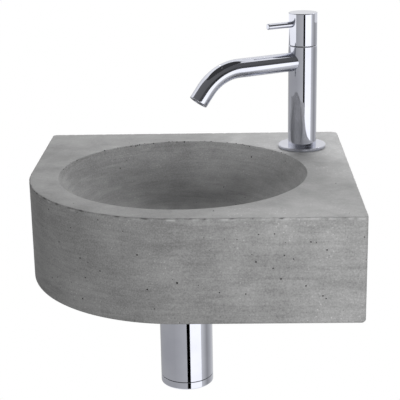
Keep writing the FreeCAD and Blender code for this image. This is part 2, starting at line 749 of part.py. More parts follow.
def make_cartridge():
    """The headwork: seat seal, brass body and the two ceramic discs."""
    sealed = f"({NOSE_RADIUS} - seal_gap)"
    washer("cartridge_seat_seal", f"{sealed} - seat_seal_width", sealed, "seat_seal_thickness",
           above_rim(CHAMBER_FLOOR))

    body = new_body("cartridge_body")
    thread_top = "(cartridge_nose_length + cartridge_thread_length)"
    neck_top = f"({thread_top} + cartridge_hex_height + cartridge_neck_height)"
    turn(body, "barrel", [
        ("0", "0"), (NOSE_RADIUS, "0"), (NOSE_RADIUS, "cartridge_nose_length"),
        ("pipe_thread_radius", "cartridge_nose_length"), ("pipe_thread_radius", thread_top),
        (NECK_RADIUS, thread_top), (NECK_RADIUS, neck_top), ("0", neck_top),
    ])
    add_hexagon(body, "hexagon", HEX_CORNER, "cartridge_hex_height", thread_top)
    spindle_bore = "(spindle_radius + running_gap)"
    turn(body, "bore", [
        ("0", "0"), (CAVITY_RADIUS, "0"), (CAVITY_RADIUS, "cartridge_cavity_depth"),
        (spindle_bore, "cartridge_cavity_depth"), (spindle_bore, neck_top), ("0", neck_top),
    ], cut=True)
    windows = add_sketch(body, "windows", "side")
    sides = box_points("-window_width / 2", "window_width / 2", "window_sill", "window_sill + window_height")
    draw_outline(windows, sides)
    extrude(body, "windows", windows, f"2 * {NOSE_RADIUS} + cut_overrun", cut=True, both_ways=True)
    finish(body, above_rim(NOSE_END))

    for label, lift, turn_angle in (("fixed_ceramic_disc", "0", "90"),
                                    ("moving_ceramic_disc", "disc_thickness", "0")):
        disc = new_body(label)
        turn(disc, "blank", box_points("0", f"{CAVITY_RADIUS} - slip_gap", "0", "disc_thickness"))
        ports = add_sketch(disc, "ports", "plan")
        for side in ("-", ""):
            draw_circle(ports, f"{side}{CAVITY_RADIUS} * disc_reach_share", "0",
                        f"{CAVITY_RADIUS} * disc_hole_share")
        extrude(disc, "ports", ports, "disc_thickness", cut=True, flip=True)
        if label == "moving_ceramic_disc":
            slot = add_sketch(disc, "slot", "plan", ("0", "0", "disc_thickness"))
            across = f"(2 * {CAVITY_RADIUS})"
            draw_outline(slot, centred_points("(tongue_width + 2 * running_gap)", across))
            extrude(disc, "slot", slot, "disc_slot_depth", cut=True)
        finish(disc, f"{above_rim(f'({NOSE_END} + {lift})')} * {frame(angle=turn_angle)}")


def make_spindle():
    """Spindle with its tongue, collar, grooves and flatted stem, and the ring and clip that it carries."""
    body = new_body("cartridge_spindle")
    collar_top = f"({NOSE_END} + cartridge_cavity_depth - slip_gap - {SPINDLE_FOOT})"
    collar_foot = f"({collar_top} - collar_height)"
    collar = f"({CAVITY_RADIUS} - collar_gap)"
    groove = "(spindle_radius + running_gap - 2 * ring_section - 2 * running_gap)"
    ring_level = f"({NECK_TOP} - ring_setback - {SPINDLE_FOOT})"
    ring_foot = f"({ring_level} - ring_section - running_gap)"
    ring_head = f"({ring_level} + ring_section + running_gap)"
    clip_foot = f"({NECK_TOP} + slip_gap - {SPINDLE_FOOT})"
    clip_head = f"({clip_foot} + clip_thickness + slip_gap)"
    clip_groove = "(spindle_radius - clip_groove_depth)"
    stem_start = f"({STEM_START} - {SPINDLE_FOOT})"
    stem_top = f"({STEM_TOP} - {SPINDLE_FOOT})"
    turn(body, "shaft", [
        ("0", "tongue_height"), ("spindle_radius", "tongue_height"), ("spindle_radius", collar_foot),
        (collar, collar_foot), (collar, collar_top), ("spindle_radius", collar_top),
        ("spindle_radius", ring_foot), (groove, ring_foot), (groove, ring_head),
        ("spindle_radius", ring_head),
        ("spindle_radius", clip_foot), (clip_groove, clip_foot), (clip_groove, clip_head),
        ("spindle_radius", clip_head), ("spindle_radius", stem_start), (STEM_RADIUS, stem_start),
        (STEM_RADIUS, stem_top), ("0", stem_top),
    ])
    tongue = add_sketch(body, "tongue", "plan")
    draw_outline(tongue, centred_points("tongue_width", f"(2 * ({CAVITY_RADIUS} - tongue_gap))"))
    extrude(body, "tongue", tongue, "tongue_height")
    flat = add_sketch(body, "flat", "plan", ("0", "0", stem_top))
    draw_outline(flat, box_points(f"-{STEM_RADIUS} - cut_overrun", f"stem_flat - {STEM_RADIUS}",
                                  f"-{STEM_RADIUS}", STEM_RADIUS))
    extrude(body, "flat", flat, "stem_length", cut=True)
    finish(body, above_rim(SPINDLE_FOOT))

    ring = new_body("spindle_ring")
    section = add_sketch(ring, "section", "front")
    draw_circle(section, f"{groove} + running_gap + ring_section", "0", "ring_section")
    revolve(ring, "ring", section)
    finish(ring, above_rim(f"({SPINDLE_FOOT} + {ring_level})"))

    clip = new_body("spindle_clip")
    band = add_sketch(clip, "section", "front")
    draw_outline(band, box_points(f"{clip_groove} + running_gap", "spindle_radius + clip_stand", "0",
                                  "clip_thickness"))
    clip_ring = revolve(clip, "ring", band, angle=360 - value("clip_opening"))
    bind(clip_ring, "Angle", "360 - clip_opening")
    finish(clip, above_rim(f"({SPINDLE_FOOT} + {clip_foot} + running_gap)"))


def make_handle():
    """The turning cap, its lever pin and the grub screw that bites on the spindle's flat."""
    body = new_body("tap_handle")
    skirt = f"({COLUMN_RADIUS} - handle_wall)"
    well = f"({NECK_RADIUS} + handle_well_gap)"
    skirt_top = "(cartridge_hex_height + end_gap - handle_gap)"
    well_top = f"({STEM_START} + end_gap - {HANDLE_FOOT})"
    socket = f"({STEM_RADIUS} + running_gap)"
    socket_top = f"({STEM_TOP} + end_gap - {HANDLE_FOOT})"
    turn(body, "cap", [
        (skirt, "0"), (f"{COLUMN_RADIUS} - edge_break", "0"), (COLUMN_RADIUS, "edge_break"),
        (COLUMN_RADIUS, "handle_height - handle_top_bevel"),
        (f"{COLUMN_RADIUS} - handle_top_bevel", "handle_height"), ("0", "handle_height"),
        ("0", socket_top), (socket, socket_top), (socket, well_top), (well, well_top),
        (well, skirt_top), (skirt, skirt_top),
    ])
    seat = f"({COLUMN_RADIUS} - lever_seat)"
    spigot = "(lever_radius - lever_spigot_step)"
    root = f"({seat} - lever_spigot_length)"
    drilled = f"({root} - end_gap)"
    for name, start, radius in (("spigot_hole", drilled, f"{spigot} + bond_gap"),
                                ("lever_seat", seat, "lever_radius + bond_gap")):
        hole = add_sketch(body, name, "side", ("0", "0", start))
        draw_circle(hole, "0", "lever_level", radius)
        extrude(body, name, hole, f"{COLUMN_RADIUS} - {start} + cut_overrun", cut=True, flip=True)
    screw_level = f"(({STEM_START} + {STEM_TOP}) / 2 - {HANDLE_FOOT})"
    hole = add_sketch(body, "screw_hole", "side")
    draw_circle(hole, "0", screw_level, "handle_screw_radius + thread_gap")
    extrude(body, "screw_hole", hole, f"{COLUMN_RADIUS} + cut_overrun", cut=True)
    finish(body, above_rim(HANDLE_FOOT))

    length = "(lever_spigot_length + lever_seat + lever_length)"
    at_lever = f"{above_rim(HANDLE_FOOT)} * {frame(root, '0', 'lever_level', '0; 1; 0', '90')}"
    turned_piece("handle_lever", [
        ("0", "0"), (spigot, "0"), (spigot, "lever_spigot_length"),
        ("lever_radius", "lever_spigot_length"), ("lever_radius", f"{length} - edge_break"),
        ("lever_radius - edge_break", length), ("0", length),
    ], at_lever)

    screw = new_body("handle_screw")
    tip = f"({STEM_RADIUS} - stem_flat + bond_gap)"
    length = f"({COLUMN_RADIUS} - handle_screw_recess - {tip})"
    turn(screw, "rod", box_points("0", "handle_screw_radius", "0", length))
    drive = screw.newObject("PartDesign::SubtractivePrism", "handle_screw_drive")
    support = next(item for item in screw.Origin.OriginFeatures if item.Role == PLANES["plan"])
    drive.AttachmentSupport = [(support, "")]
    drive.MapMode = "FlatFace"
    drive.Polygon = 6
    bind(drive, "Circumradius", "handle_screw_socket")
    bind(drive, "Height", "handle_screw_socket_depth")
    bind(drive, "AttachmentOffset.Base.z", f"{length} - handle_screw_socket_depth")
    finish(screw, f"{above_rim(HANDLE_FOOT)} * {frame(f'-{tip}', '0', screw_level, '0; 1; 0', '-90')}")


def make_waste():
    """The grid waste in the bowl's floor, with its seals and the nut under the basin."""
    floor_slab = "(basin_height - bowl_depth - waste_recess)"
    under_flange = f"({TAIL_END} + {floor_slab} + waste_gasket_thickness)"
    top = f"({under_flange} + waste_flange_height)"
    crown = f"({WASTE_FLANGE_RADIUS} - waste_flange_bevel)"
    grid_seat = f"({crown} - waste_grid_rim)"
    grid_floor = f"({top} - waste_grid_thickness)"
    body = new_body("waste_body")
    turn(body, "shell", [
        (WASTE_BORE, "0"), ("waste_tail_radius - edge_break", "0"),
        ("waste_tail_radius", "edge_break"),
        ("waste_tail_radius", under_flange), (WASTE_FLANGE_RADIUS, under_flange),
        (WASTE_FLANGE_RADIUS, f"{top} - waste_flange_bevel"), (crown, top),
        (grid_seat, top), (grid_seat, grid_floor), (WASTE_BORE, grid_floor),
    ])
    bridge_top = f"({top} - waste_bridge_drop)"
    bar = add_sketch(body, "bridge", "plan", ("0", "0", f"{bridge_top} - waste_bridge_height"))
    tapping = "(waste_screw_radius + thread_gap)"
    bar_width = f"(2 * ({tapping} + waste_bridge_wall))"
    draw_outline(bar, centred_points(f"({WASTE_BORE} + waste_tail_radius)", bar_width))
    extrude(body, "bridge", bar, "waste_bridge_height")
    tapped = add_sketch(body, "tapped_hole", "plan", ("0", "0", bridge_top))
    draw_circle(tapped, "0", "0", tapping)
    extrude(body, "tapped_hole", tapped, "waste_bridge_height", cut=True)
    finish(body, below_basin(TAIL_END))

    washer("waste_gasket", WASTE_HOLE, f"{WASTE_FLANGE_RADIUS} - edge_break", "waste_gasket_thickness",
           f"{DRAIN} * {frame(z=floor_slab)}")

    grid = new_body("waste_grid")
    turn(grid, "disc", box_points("waste_screw_radius + slip_gap", f"{grid_seat} - slip_gap", "0",
                                  "waste_grid_thickness"))
    holes = add_sketch(grid, "holes", "plan")
    inner_ring = f"({WASTE_SCREW_HEAD} + waste_grid_hub + waste_grid_hole)"
    outer_ring = f"({inner_ring} + 2 * waste_grid_hole + waste_grid_web)"
    draw_ring_of_holes(holes, GRID_INNER_HOLES, inner_ring, "waste_grid_hole")
    draw_ring_of_holes(holes, GRID_OUTER_HOLES, outer_ring, "waste_grid_hole")
    extrude(grid, "holes", holes, "waste_grid_thickness", cut=True, flip=True)
    finish(grid, f"{DRAIN} * {frame(z=f'{grid_floor} - {TAIL_END}')}")

    shank = f"({grid_floor} + waste_grid_thickness - {bridge_top} + waste_screw_grip)"
    screw = new_body("waste_screw")
    head_top = f"({shank} + waste_screw_head_height)"
    turn(screw, "pin", [
        ("0", "0"), ("waste_screw_radius", "0"), ("waste_screw_radius", shank), (WASTE_SCREW_HEAD, shank),
        (WASTE_SCREW_HEAD, f"{head_top} - edge_break"), (f"{WASTE_SCREW_HEAD} - edge_break", head_top),
        ("0", head_top),
    ])
    slot = add_sketch(screw, "slot", "plan", ("0", "0", head_top))
    draw_outline(slot, centred_points(f"(2 * {WASTE_SCREW_HEAD})", "waste_screw_slot"))
    extrude(screw, "slot", slot, "waste_screw_slot_depth", cut=True)
    finish(screw, f"{DRAIN} * {frame(z=f'{top} - {TAIL_END} - {shank}')}")

    under_gasket = "lower_gasket_thickness"
    under_washer = f"({under_gasket} + waste_washer_thickness)"
    hole = "(waste_tail_radius + slip_gap)"
    washer("waste_lower_gasket", hole, LOWER_GASKET_RADIUS, "lower_gasket_thickness",
           below_basin(under_gasket))
    washer("waste_washer", hole, f"{LOWER_GASKET_RADIUS} - edge_break", "waste_washer_thickness",
           below_basin(under_washer))
    hex_nut("waste_backnut", WASTE_NUT_CORNER, "waste_nut_height", "(waste_tail_radius + thread_gap)",
            below_basin(NUT_END))


def make_trap_inlet():
    """Seal, dip tube and coupling nut between the waste's tail and the trap's neck."""
    inside = "(waste_tail_radius + thread_gap)"
    head = f"({inside} - slip_gap)"
    bore = f"({DIP_RADIUS} - dip_wall)"
    washer("trap_inlet_seal", bore, f"{head} - seal_gap", "inlet_seal_thickness", below_basin(DIP_TOP))

    reach = f"({TRAP_FOOT} - dip_clearance)"
    tube = f"({reach} - {NECK_HEAD})"
    full = f"({reach} - {DIP_TOP})"
    turned_piece("trap_dip_tube", [
        (bore, "0"), (DIP_RADIUS, "0"), (DIP_RADIUS, tube), (head, tube), (head, full), (bore, full),
    ], below_basin(reach))

    waist = f"({DIP_RADIUS} + slip_gap + neck_wall)"
    lip_bore = f"({waist} + slip_gap)"
    outer = f"({inside} + inlet_nut_wall)"
    foot = f"({NECK_HEAD} + neck_flange_thickness + slip_gap + inlet_nut_lip)"
    height = f"({foot} - {TAIL_END} + inlet_nut_grip)"
    turned_piece("trap_inlet_nut", [
        (lip_bore, "0"), (f"{outer} - edge_break", "0"), (outer, "edge_break"),
        (outer, f"{height} - edge_break"), (f"{outer} - edge_break", height),
        (inside, height), (inside, "inlet_nut_lip"), (lip_bore, "inlet_nut_lip"),
    ], below_basin(foot))


def make_trap():
    """The chrome bottle with its neck and rear branch, and the screwed cap at its foot."""
    body = new_body("trap_body")
    roof = f"({TRAP_FOOT} - {TRAP_TOP})"
    neck_low = f"({roof} + neck_waist)"
    neck_top = f"({neck_low} + neck_flange_thickness)"
    waist = f"({DIP_RADIUS} + slip_gap + neck_wall)"
    head = "(waste_tail_radius + thread_gap - slip_gap)"
    turn(body, "bottle", [
        ("0", "0"), ("trap_radius", "0"), ("trap_radius", f"{roof} - trap_shoulder_bevel"),
        ("trap_radius - trap_shoulder_bevel", roof), (waist, roof), (waist, neck_low), (head, neck_low),
        (head, neck_top), ("0", neck_top),
    ])
    level = f"({roof} - {OUTLET_DROP})"
    branch = add_sketch(body, "branch", "front")
    draw_circle(branch, "0", level, OUTLET_RADIUS)
    extrude(body, "branch", branch, OUTLET_END, flip=True)
    inside = "(trap_radius - trap_wall)"
    neck_bore = f"({DIP_RADIUS} + slip_gap)"
    turn(body, "cavity", [
        ("0", "0"), (inside, "0"), (inside, f"{roof} - trap_roof"),
        (neck_bore, f"{roof} - trap_roof"), (neck_bore, neck_top), ("0", neck_top),
    ], cut=True)
    for name, start, radius, length in (
            ("socket", f"-({OUTLET_END} - outlet_socket)", "outlet_bore", "outlet_socket"),
            ("throat", "0", "outlet_bore - outlet_stop_step", f"{OUTLET_END} - outlet_socket")):
        hole = add_sketch(body, name, "front", ("0", "0", start))
        draw_circle(hole, "0", level, radius)
        extrude(body, name, hole, length, cut=True)
    finish(body, below_basin(TRAP_FOOT))

    washer("trap_cap_seal", f"{inside} + seal_gap", "trap_radius - trap_cap_seal_inset",
           "trap_cap_seal_thickness", below_basin(f"({TRAP_FOOT} + trap_cap_seal_thickness)"))

    cap = new_body("trap_cap")
    plug = f"({inside} - thread_gap)"
    plug_top = "(trap_cap_height + trap_cap_seal_thickness + trap_cap_thread)"
    turn(cap, "cap", [
        ("0", "0"), ("trap_radius - trap_cap_bevel", "0"), ("trap_radius", "trap_cap_bevel"),
        ("trap_radius", "trap_cap_height"), (plug, "trap_cap_height"), (plug, plug_top),
        (f"{plug} - trap_cap_wall", plug_top), (f"{plug} - trap_cap_wall", "trap_cap_floor"),
        ("0", "trap_cap_floor"),
    ])
    slot = add_sketch(cap, "slot", "plan")
    draw_outline(slot, centred_points("trap_cap_slot_length", "trap_cap_slot"))
    extrude(cap, "slot", slot, "trap_cap_slot_depth", cut=True, flip=True)
    finish(cap, below_basin("trap_drop"))


def make_trap_outlet():
    """Seal and nut on the rear branch, for the drain pipe that comes out of the wall."""
    axis_drop = f"({TRAP_TOP} + {OUTLET_DROP})"

    def behind(distance):
        return f"{DRAIN} * {frame('0', distance, f'-{axis_drop}', '1; 0; 0', '-90')}"

    washer("trap_outlet_seal", "outlet_bore", f"{OUTLET_RADIUS} - seal_gap", "outlet_seal_thickness",
           behind(OUTLET_END))

    thread = f"({OUTLET_RADIUS} + thread_gap)"
    outer = f"({thread} + outlet_nut_wall)"
    shelf = "(outlet_nut_grip + outlet_seal_thickness)"
    length = f"({shelf} + outlet_nut_lip)"
    turned_piece("trap_outlet_nut", [
        (thread, "0"), (f"{outer} - edge_break", "0"), (outer, "edge_break"),
        (outer, f"{length} - edge_break"),
        (f"{outer} - edge_break", length), ("outlet_bore", length), ("outlet_bore", shelf), (thread, shelf),
    ], behind(f"({OUTLET_END} - outlet_nut_grip)"))


def write_pieces():
    """Check the whole document, then write each piece under its own name."""
    doc.recompute()
    for item in doc.Objects:
        if {"Invalid", "Error"} & set(item.State):
            raise RuntimeError(f"{item.Label} failed: {item.State}")
    for piece in pieces:
        if piece.Shape.isNull() or not piece.Shape.isValid():
            raise RuntimeError(f"{piece.Label} has no sound shape")
    os.makedirs("parts", exist_ok=True)
    for piece in pieces:
        piece.Shape.exportStep(f"parts/{piece.Label}.step")
        print(f"{piece.Label}: {len(piece.Shape.Solids)} solid(s), {piece.Shape.Volume / 1000:.3f} cm3")


fill_sheet()
make_basin()
make_sleeves()
make_tap_base()
make_column()
make_spout()
make_aerator()
make_cartridge()
make_spindle()
make_handle()
make_waste()
make_trap_inlet()
make_trap()
make_trap_outlet()
write_pieces()
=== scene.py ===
"""Looks of a wall-hung concrete hand basin with a chrome pillar tap and a chrome bottle trap.

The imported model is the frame. The concrete casting, the tap's outer pieces and inlet tail, the waste grid, and the
trap's nuts and cap are built here in finer form. The other nodes stay as they are, dressed in the same finishes.
"""

import logging
import math
import random
from dataclasses import dataclass
from enum import Enum
from typing import Any, Optional, Sequence

import bmesh
import bpy
from mathutils import Matrix, Vector, noise


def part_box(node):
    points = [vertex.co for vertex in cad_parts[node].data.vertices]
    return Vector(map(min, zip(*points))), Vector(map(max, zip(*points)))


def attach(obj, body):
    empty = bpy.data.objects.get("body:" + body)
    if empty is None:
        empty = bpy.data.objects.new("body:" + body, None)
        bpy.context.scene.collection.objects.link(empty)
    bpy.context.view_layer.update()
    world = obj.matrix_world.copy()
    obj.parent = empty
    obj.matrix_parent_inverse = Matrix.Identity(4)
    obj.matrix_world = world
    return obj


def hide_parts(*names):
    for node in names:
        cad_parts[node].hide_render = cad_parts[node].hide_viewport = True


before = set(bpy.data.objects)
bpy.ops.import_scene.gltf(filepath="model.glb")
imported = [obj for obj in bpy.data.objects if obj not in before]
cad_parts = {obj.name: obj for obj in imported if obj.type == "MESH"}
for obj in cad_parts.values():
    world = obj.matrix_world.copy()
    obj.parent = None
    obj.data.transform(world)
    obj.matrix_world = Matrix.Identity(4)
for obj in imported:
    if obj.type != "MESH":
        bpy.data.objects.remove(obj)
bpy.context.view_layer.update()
LOG = logging.getLogger("hand_basin")
MM = 0.001
Tree = bpy.types.NodeTree
Socket = bpy.types.NodeSocket
Mesh = bpy.types.Mesh
Pair = tuple[float, float]
Triple = tuple[float, float, float]
# A turned ring with a smaller radius than this, in mm, is a pole.
POLE_RADIUS = 1e-6
# The values of a noise texture lie about its middle, and most of them within its spread.
NOISE_MIDDLE = 0.5
NOISE_SPREAD = (0.35, 0.65)
# A shape that is cut many times has few faces: pieces of each rounding, and points round its ring.
RING_TOOL_STEPS = 4
RING_TOOL_FACETS = 28


class Body(Enum):
    """The two bodies that a piece can ride on."""

    BASIN = "basin"
    HANDLE = "handle"


class Slot(Enum):
    """The record's material slots."""

    CONCRETE = "concrete"
    CHROME = "chrome"
    BRASS = "brass"
    STEEL = "steel"
    RUBBER = "rubber"
    PLASTIC = "plastic"
    CERAMIC = "ceramic"


class Axis(Enum):
    """The ways that a drain fitting's axis can run from its foot."""

    UP = "up"
    BACK = "back"


def linear(colour: str) -> tuple[float, float, float, float]:
    """Turns an sRGB colour to linear light.

    Args:
        colour: A hash sign and six hex digits.

    Returns:
        Red, green, blue, and an alpha of 1.
    """
    shares = [int(colour[at:at + 2], 16) / 255 for at in (1, 3, 5)]
    light = [share / 12.92 if share <= 0.04045 else ((share + 0.055) / 1.055) ** 2.4 for share in shares]
    return (light[0], light[1], light[2], 1.0)


def add_node(tree: Tree, kind: str, sockets: Optional[dict] = None,
             stops: Sequence[tuple[float, str]] = (), **settings: Any) -> bpy.types.Node:
    """Adds a node with its settings, and fills its input sockets.

    Args:
        tree: The tree that gets the node.
        kind: Blender's name for the kind of node.
        sockets: For an input's name or number, the value it takes or the output it is linked to.
        stops: For a colour ramp, the place and the colour of its two stops.
        settings: The node's own properties.

    Returns:
        The new node.
    """
    node = tree.nodes.new(kind)
    for name, setting in settings.items():
        setattr(node, name, setting)
    for name, given in (sockets or {}).items():
        if isinstance(given, Socket):
            tree.links.new(given, node.inputs[name])
        else:
            node.inputs[name].default_value = given
    for index, (place, colour) in enumerate(stops):
        node.color_ramp.elements[index].position = place
        node.color_ramp.elements[index].color = linear(colour)
    return node


@dataclass(frozen=True)
class Finish:
    """A finish, which makes its material the first time it is asked for."""

    name: str

    def material(self) -> bpy.types.Material:
        """Gives the finish's material.

        Returns:
            The material, made once.
        """
        made = bpy.data.materials.get(self.name)
        if made is None:
            made = bpy.data.materials.new(self.name)
            made.use_nodes = True
            tree = made.node_tree
            spot = add_node(tree, "ShaderNodeTexCoord").outputs["Object"]
            self.paint(tree, tree.nodes["Principled BSDF"], spot)
        return made

    def paint(self, tree: Tree, shader: bpy.types.Node, spot: Socket) -> None:
        """Links the finish's pattern to its shader."""
        raise NotImplementedError

    def cover(self, tree: Tree, shader: bpy.types.Node, pattern: Socket, spread: Pair, colours: tuple[str, str],
              roughness: Pair) -> Socket:
        """Takes the skin's colour and its roughness from one pattern.

        Args:
            tree: The material's nodes.
            shader: The material's shader, which gets the roughness.
            pattern: The pattern.
            spread: The two values of the pattern that the colours lie at.
            colours: The colours there.
            roughness: The roughness there.

        Returns:
            The colour.
        """
        ramp = add_node(tree, "ShaderNodeValToRGB", {"Fac": pattern}, tuple(zip(spread, colours)))
        haze = add_node(tree, "ShaderNodeMapRange", {
            "Value": pattern, "From Min": spread[0], "From Max": spread[1], "To Min": roughness[0],
            "To Max": roughness[1]})
        tree.links.new(haze.outputs["Result"], shader.inputs["Roughness"])
        return ramp.outputs["Color"]


@dataclass(frozen=True)
class LevelMarks:
    """Marks that lie nearly level and wander, as the poured layers and the mould's sides leave them.

    Args:
        length_mm: How long they are.
        height_mm: How high they are.
        tilt: How far they lean, in radians.
        wander: How much they wander.
        share: Their share in the tone.
    """

    length_mm: float
    height_mm: float
    tilt: float
    wander: float
    share: float


@dataclass(frozen=True)
class CastConcrete(Finish):
    """Fine grey concrete, cast in a smooth mould and sealed.

    The eye sees soft clouds where the cement settled, faint level streaks from the mould's sides, sand grain, pale
    specks of lime and small air holes, painted dark inside as shade, on a dull skin that has painted light making it
    paler towards the tap's end. Faces carry two marks: pit is the inside of each air hole and chip, painted dark as
    shade, and edge is crumbled and painted dark as shade above nothing, rubbed pale below it.
    """

    dark: str = "#6B6B6B"
    pale: str = "#B9B9B9"
    speck: str = "#D2D2D2"
    # Painted shade: air holes, chips and the crumbled outer edge are painted this colour, for their shade.
    hole: str = "#2E2E2E"
    cloud_mm: float = 52.0
    cloud_share: float = 0.34
    flow: LevelMarks = LevelMarks(62.0, 7.5, 0.10, 1.1, 0.24)
    streaks: LevelMarks = LevelMarks(30.0, 1.8, -0.05, 0.8, 0.14)
    # Real sand is finer, and is drawn as coarse as it needs to show.
    grain_mm: float = 1.3
    grain_share: float = 0.28
    side_grain: float = 1.4
    top_grain: float = 0.6
    # How far upwards a face points up to which it is a side, and from which it is the top.
    side_to_top: Pair = (0.3, 0.95)
    spread: Pair = (0.30, 0.70)
    roughness: Pair = (0.66, 0.84)
    specular: float = 0.25
    relief: float = 0.35
    relief_mm: float = 0.5
    speck_mm: float = 4.2
    # How far from its middle a speck starts and is full, as a share of speck_mm, and how much it covers.
    speck_reach: Pair = (0.20, 0.08)
    speck_cover: float = 0.6
    # The specks come in between these values of the clouds.
    speck_clouds: Pair = (0.47, 0.62)
    # Painted light: the skin's tone drifts from the first end of drift_mm, along the wall, to the second, painted
    # paler towards the tap's end for the light that falls more strongly there.
    drift_mm: Pair = (-30.0, 155.0)
    drift: Pair = (0.94, 1.4)
    shade_and_wear_from: float = 0.1
    shade_and_wear_cover: float = 0.9

    def layers(self, tree: Tree, spot: Socket) -> tuple[Socket, Socket]:
        """Adds up the clouds, the flow marks, the streaks and the sand.

        Args:
            tree: The material's nodes.
            spot: Object coordinates, in metres.

        Returns:
            The clouds alone, and the sum.
        """
        cloud = add_node(tree, "ShaderNodeTexNoise", {
            "Vector": spot, "Scale": 1 / (self.cloud_mm * MM), "Detail": 6.0, "Roughness": 0.62}).outputs["Fac"]
        layers = [(cloud, self.cloud_share)]
        for marks in (self.flow, self.streaks):
            across = 1 / (marks.length_mm * MM)
            lie = add_node(tree, "ShaderNodeMapping", {
                "Vector": spot, "Rotation": (0.0, marks.tilt, 0.0),
                "Scale": (across, across, 1 / (marks.height_mm * MM))})
            drawn = add_node(tree, "ShaderNodeTexNoise", {
                "Vector": lie.outputs["Vector"], "Scale": 1.0, "Detail": 4.0, "Roughness": 0.6,
                "Distortion": marks.wander})
            layers.append((drawn.outputs["Fac"], marks.share))
        grain = add_node(tree, "ShaderNodeTexNoise", {
            "Vector": spot, "Scale": 1 / (self.grain_mm * MM), "Detail": 2.0, "Roughness": 0.75})
        # The top is smoother than the sides, as it is in the photograph.
        normal = add_node(tree, "ShaderNodeNewGeometry").outputs["Normal"]
        upward = add_node(tree, "ShaderNodeSeparateXYZ", {0: normal})
        coarse = add_node(tree, "ShaderNodeMapRange", {
            "Value": upward.outputs["Z"], "From Min": self.side_to_top[0], "From Max": self.side_to_top[1],
            "To Min": self.side_grain, "To Max": self.top_grain})
        above = add_node(tree, "ShaderNodeMath", {0: grain.outputs["Fac"], 1: NOISE_MIDDLE}, operation="SUBTRACT")
        sand = add_node(tree, "ShaderNodeMath", {0: above.outputs[0], 1: coarse.outputs["Result"], 2: NOISE_MIDDLE},
                        operation="MULTIPLY_ADD")
        layers.append((sand.outputs[0], self.grain_share))
        total = 0.0
        for pattern, share in layers:
            tone = add_node(tree, "ShaderNodeMath", {0: pattern, 1: share, 2: total}, operation="MULTIPLY_ADD")
            total = tone.outputs[0]
        return cloud, total

    def limed(self, tree: Tree, spot: Socket, cloud: Socket, base: Socket) -> Socket:
        """Sprinkles specks of lime over the paler clouds.

        Args:
            tree: The material's nodes.
            spot: Object coordinates, in metres.
            cloud: The clouds.
            base: The colour under the specks.

        Returns:
            The colour with the specks in it.
        """
        specks = add_node(tree, "ShaderNodeTexVoronoi", {"Vector": spot, "Scale": 1 / (self.speck_mm * MM)})
        lime = add_node(tree, "ShaderNodeMapRange", {
            "Value": specks.outputs["Distance"], "From Min": self.speck_reach[0], "From Max": self.speck_reach[1],
            "To Max": self.speck_cover})
        patch = add_node(tree, "ShaderNodeMapRange", {
            "Value": cloud, "From Min": self.speck_clouds[0], "From Max": self.speck_clouds[1]})
        share = add_node(tree, "ShaderNodeMath", {0: lime.outputs["Result"], 1: patch.outputs["Result"]},
                         operation="MULTIPLY")
        specked = add_node(tree, "ShaderNodeMix", {"Factor": share.outputs[0], "A": base, "B": linear(self.speck)},
                           data_type="RGBA")
        return specked.outputs["Result"]

    def paint(self, tree: Tree, shader: bpy.types.Node, spot: Socket) -> None:
        """Paints clouds, flow marks, streaks, grain, specks, painted shade in air holes, chips and crumbled edges,
        rubbed edges, and painted light towards the tap's end.

        Args:
            tree: The material's nodes.
            shader: The material's shader.
            spot: Object coordinates, in metres.
        """
        cloud, total = self.layers(tree, spot)
        base = self.cover(tree, shader, total, self.spread, (self.dark, self.pale), self.roughness)
        # Painted light: the skin is painted paler towards the tap's end, for the light that falls more strongly there.
        side = add_node(tree, "ShaderNodeSeparateXYZ", {0: spot})
        drift = add_node(tree, "ShaderNodeMapRange", {
            "Value": side.outputs["X"], "From Min": self.drift_mm[0] * MM, "From Max": self.drift_mm[1] * MM,
            "To Min": self.drift[0], "To Max": self.drift[1]})
        tone = add_node(tree, "ShaderNodeVectorMath", {
            0: self.limed(tree, spot, cloud, base), "Scale": drift.outputs["Result"]}, operation="SCALE")
        skin_tone = tone.outputs["Vector"]
        # Painted shade: air holes, chips and crumbled edges darken to the hole colour; rubbed edges turn pale.
        wear_and_shade = (("pit", 1.0, self.hole), ("edge", 1.0, self.hole), ("edge", -1.0, self.speck))
        for mark, most, colour in wear_and_shade:
            shade_and_wear_mark = add_node(tree, "ShaderNodeAttribute", attribute_name=mark)
            share = add_node(tree, "ShaderNodeMapRange", {
                "Value": shade_and_wear_mark.outputs["Fac"], "From Min": self.shade_and_wear_from * most, "From Max": most,
                "To Max": self.shade_and_wear_cover})
            patch = add_node(tree, "ShaderNodeMix", {
                "Factor": share.outputs["Result"], "A": skin_tone, "B": linear(colour)}, data_type="RGBA")
            skin_tone = patch.outputs["Result"]
        tree.links.new(skin_tone, shader.inputs["Base Color"])
        shader.inputs["Specular IOR Level"].default_value = self.specular
        bump = add_node(tree, "ShaderNodeBump", {
            "Height": total, "Strength": self.relief, "Distance": self.relief_mm * MM})
        tree.links.new(bump.outputs["Normal"], shader.inputs["Normal"])


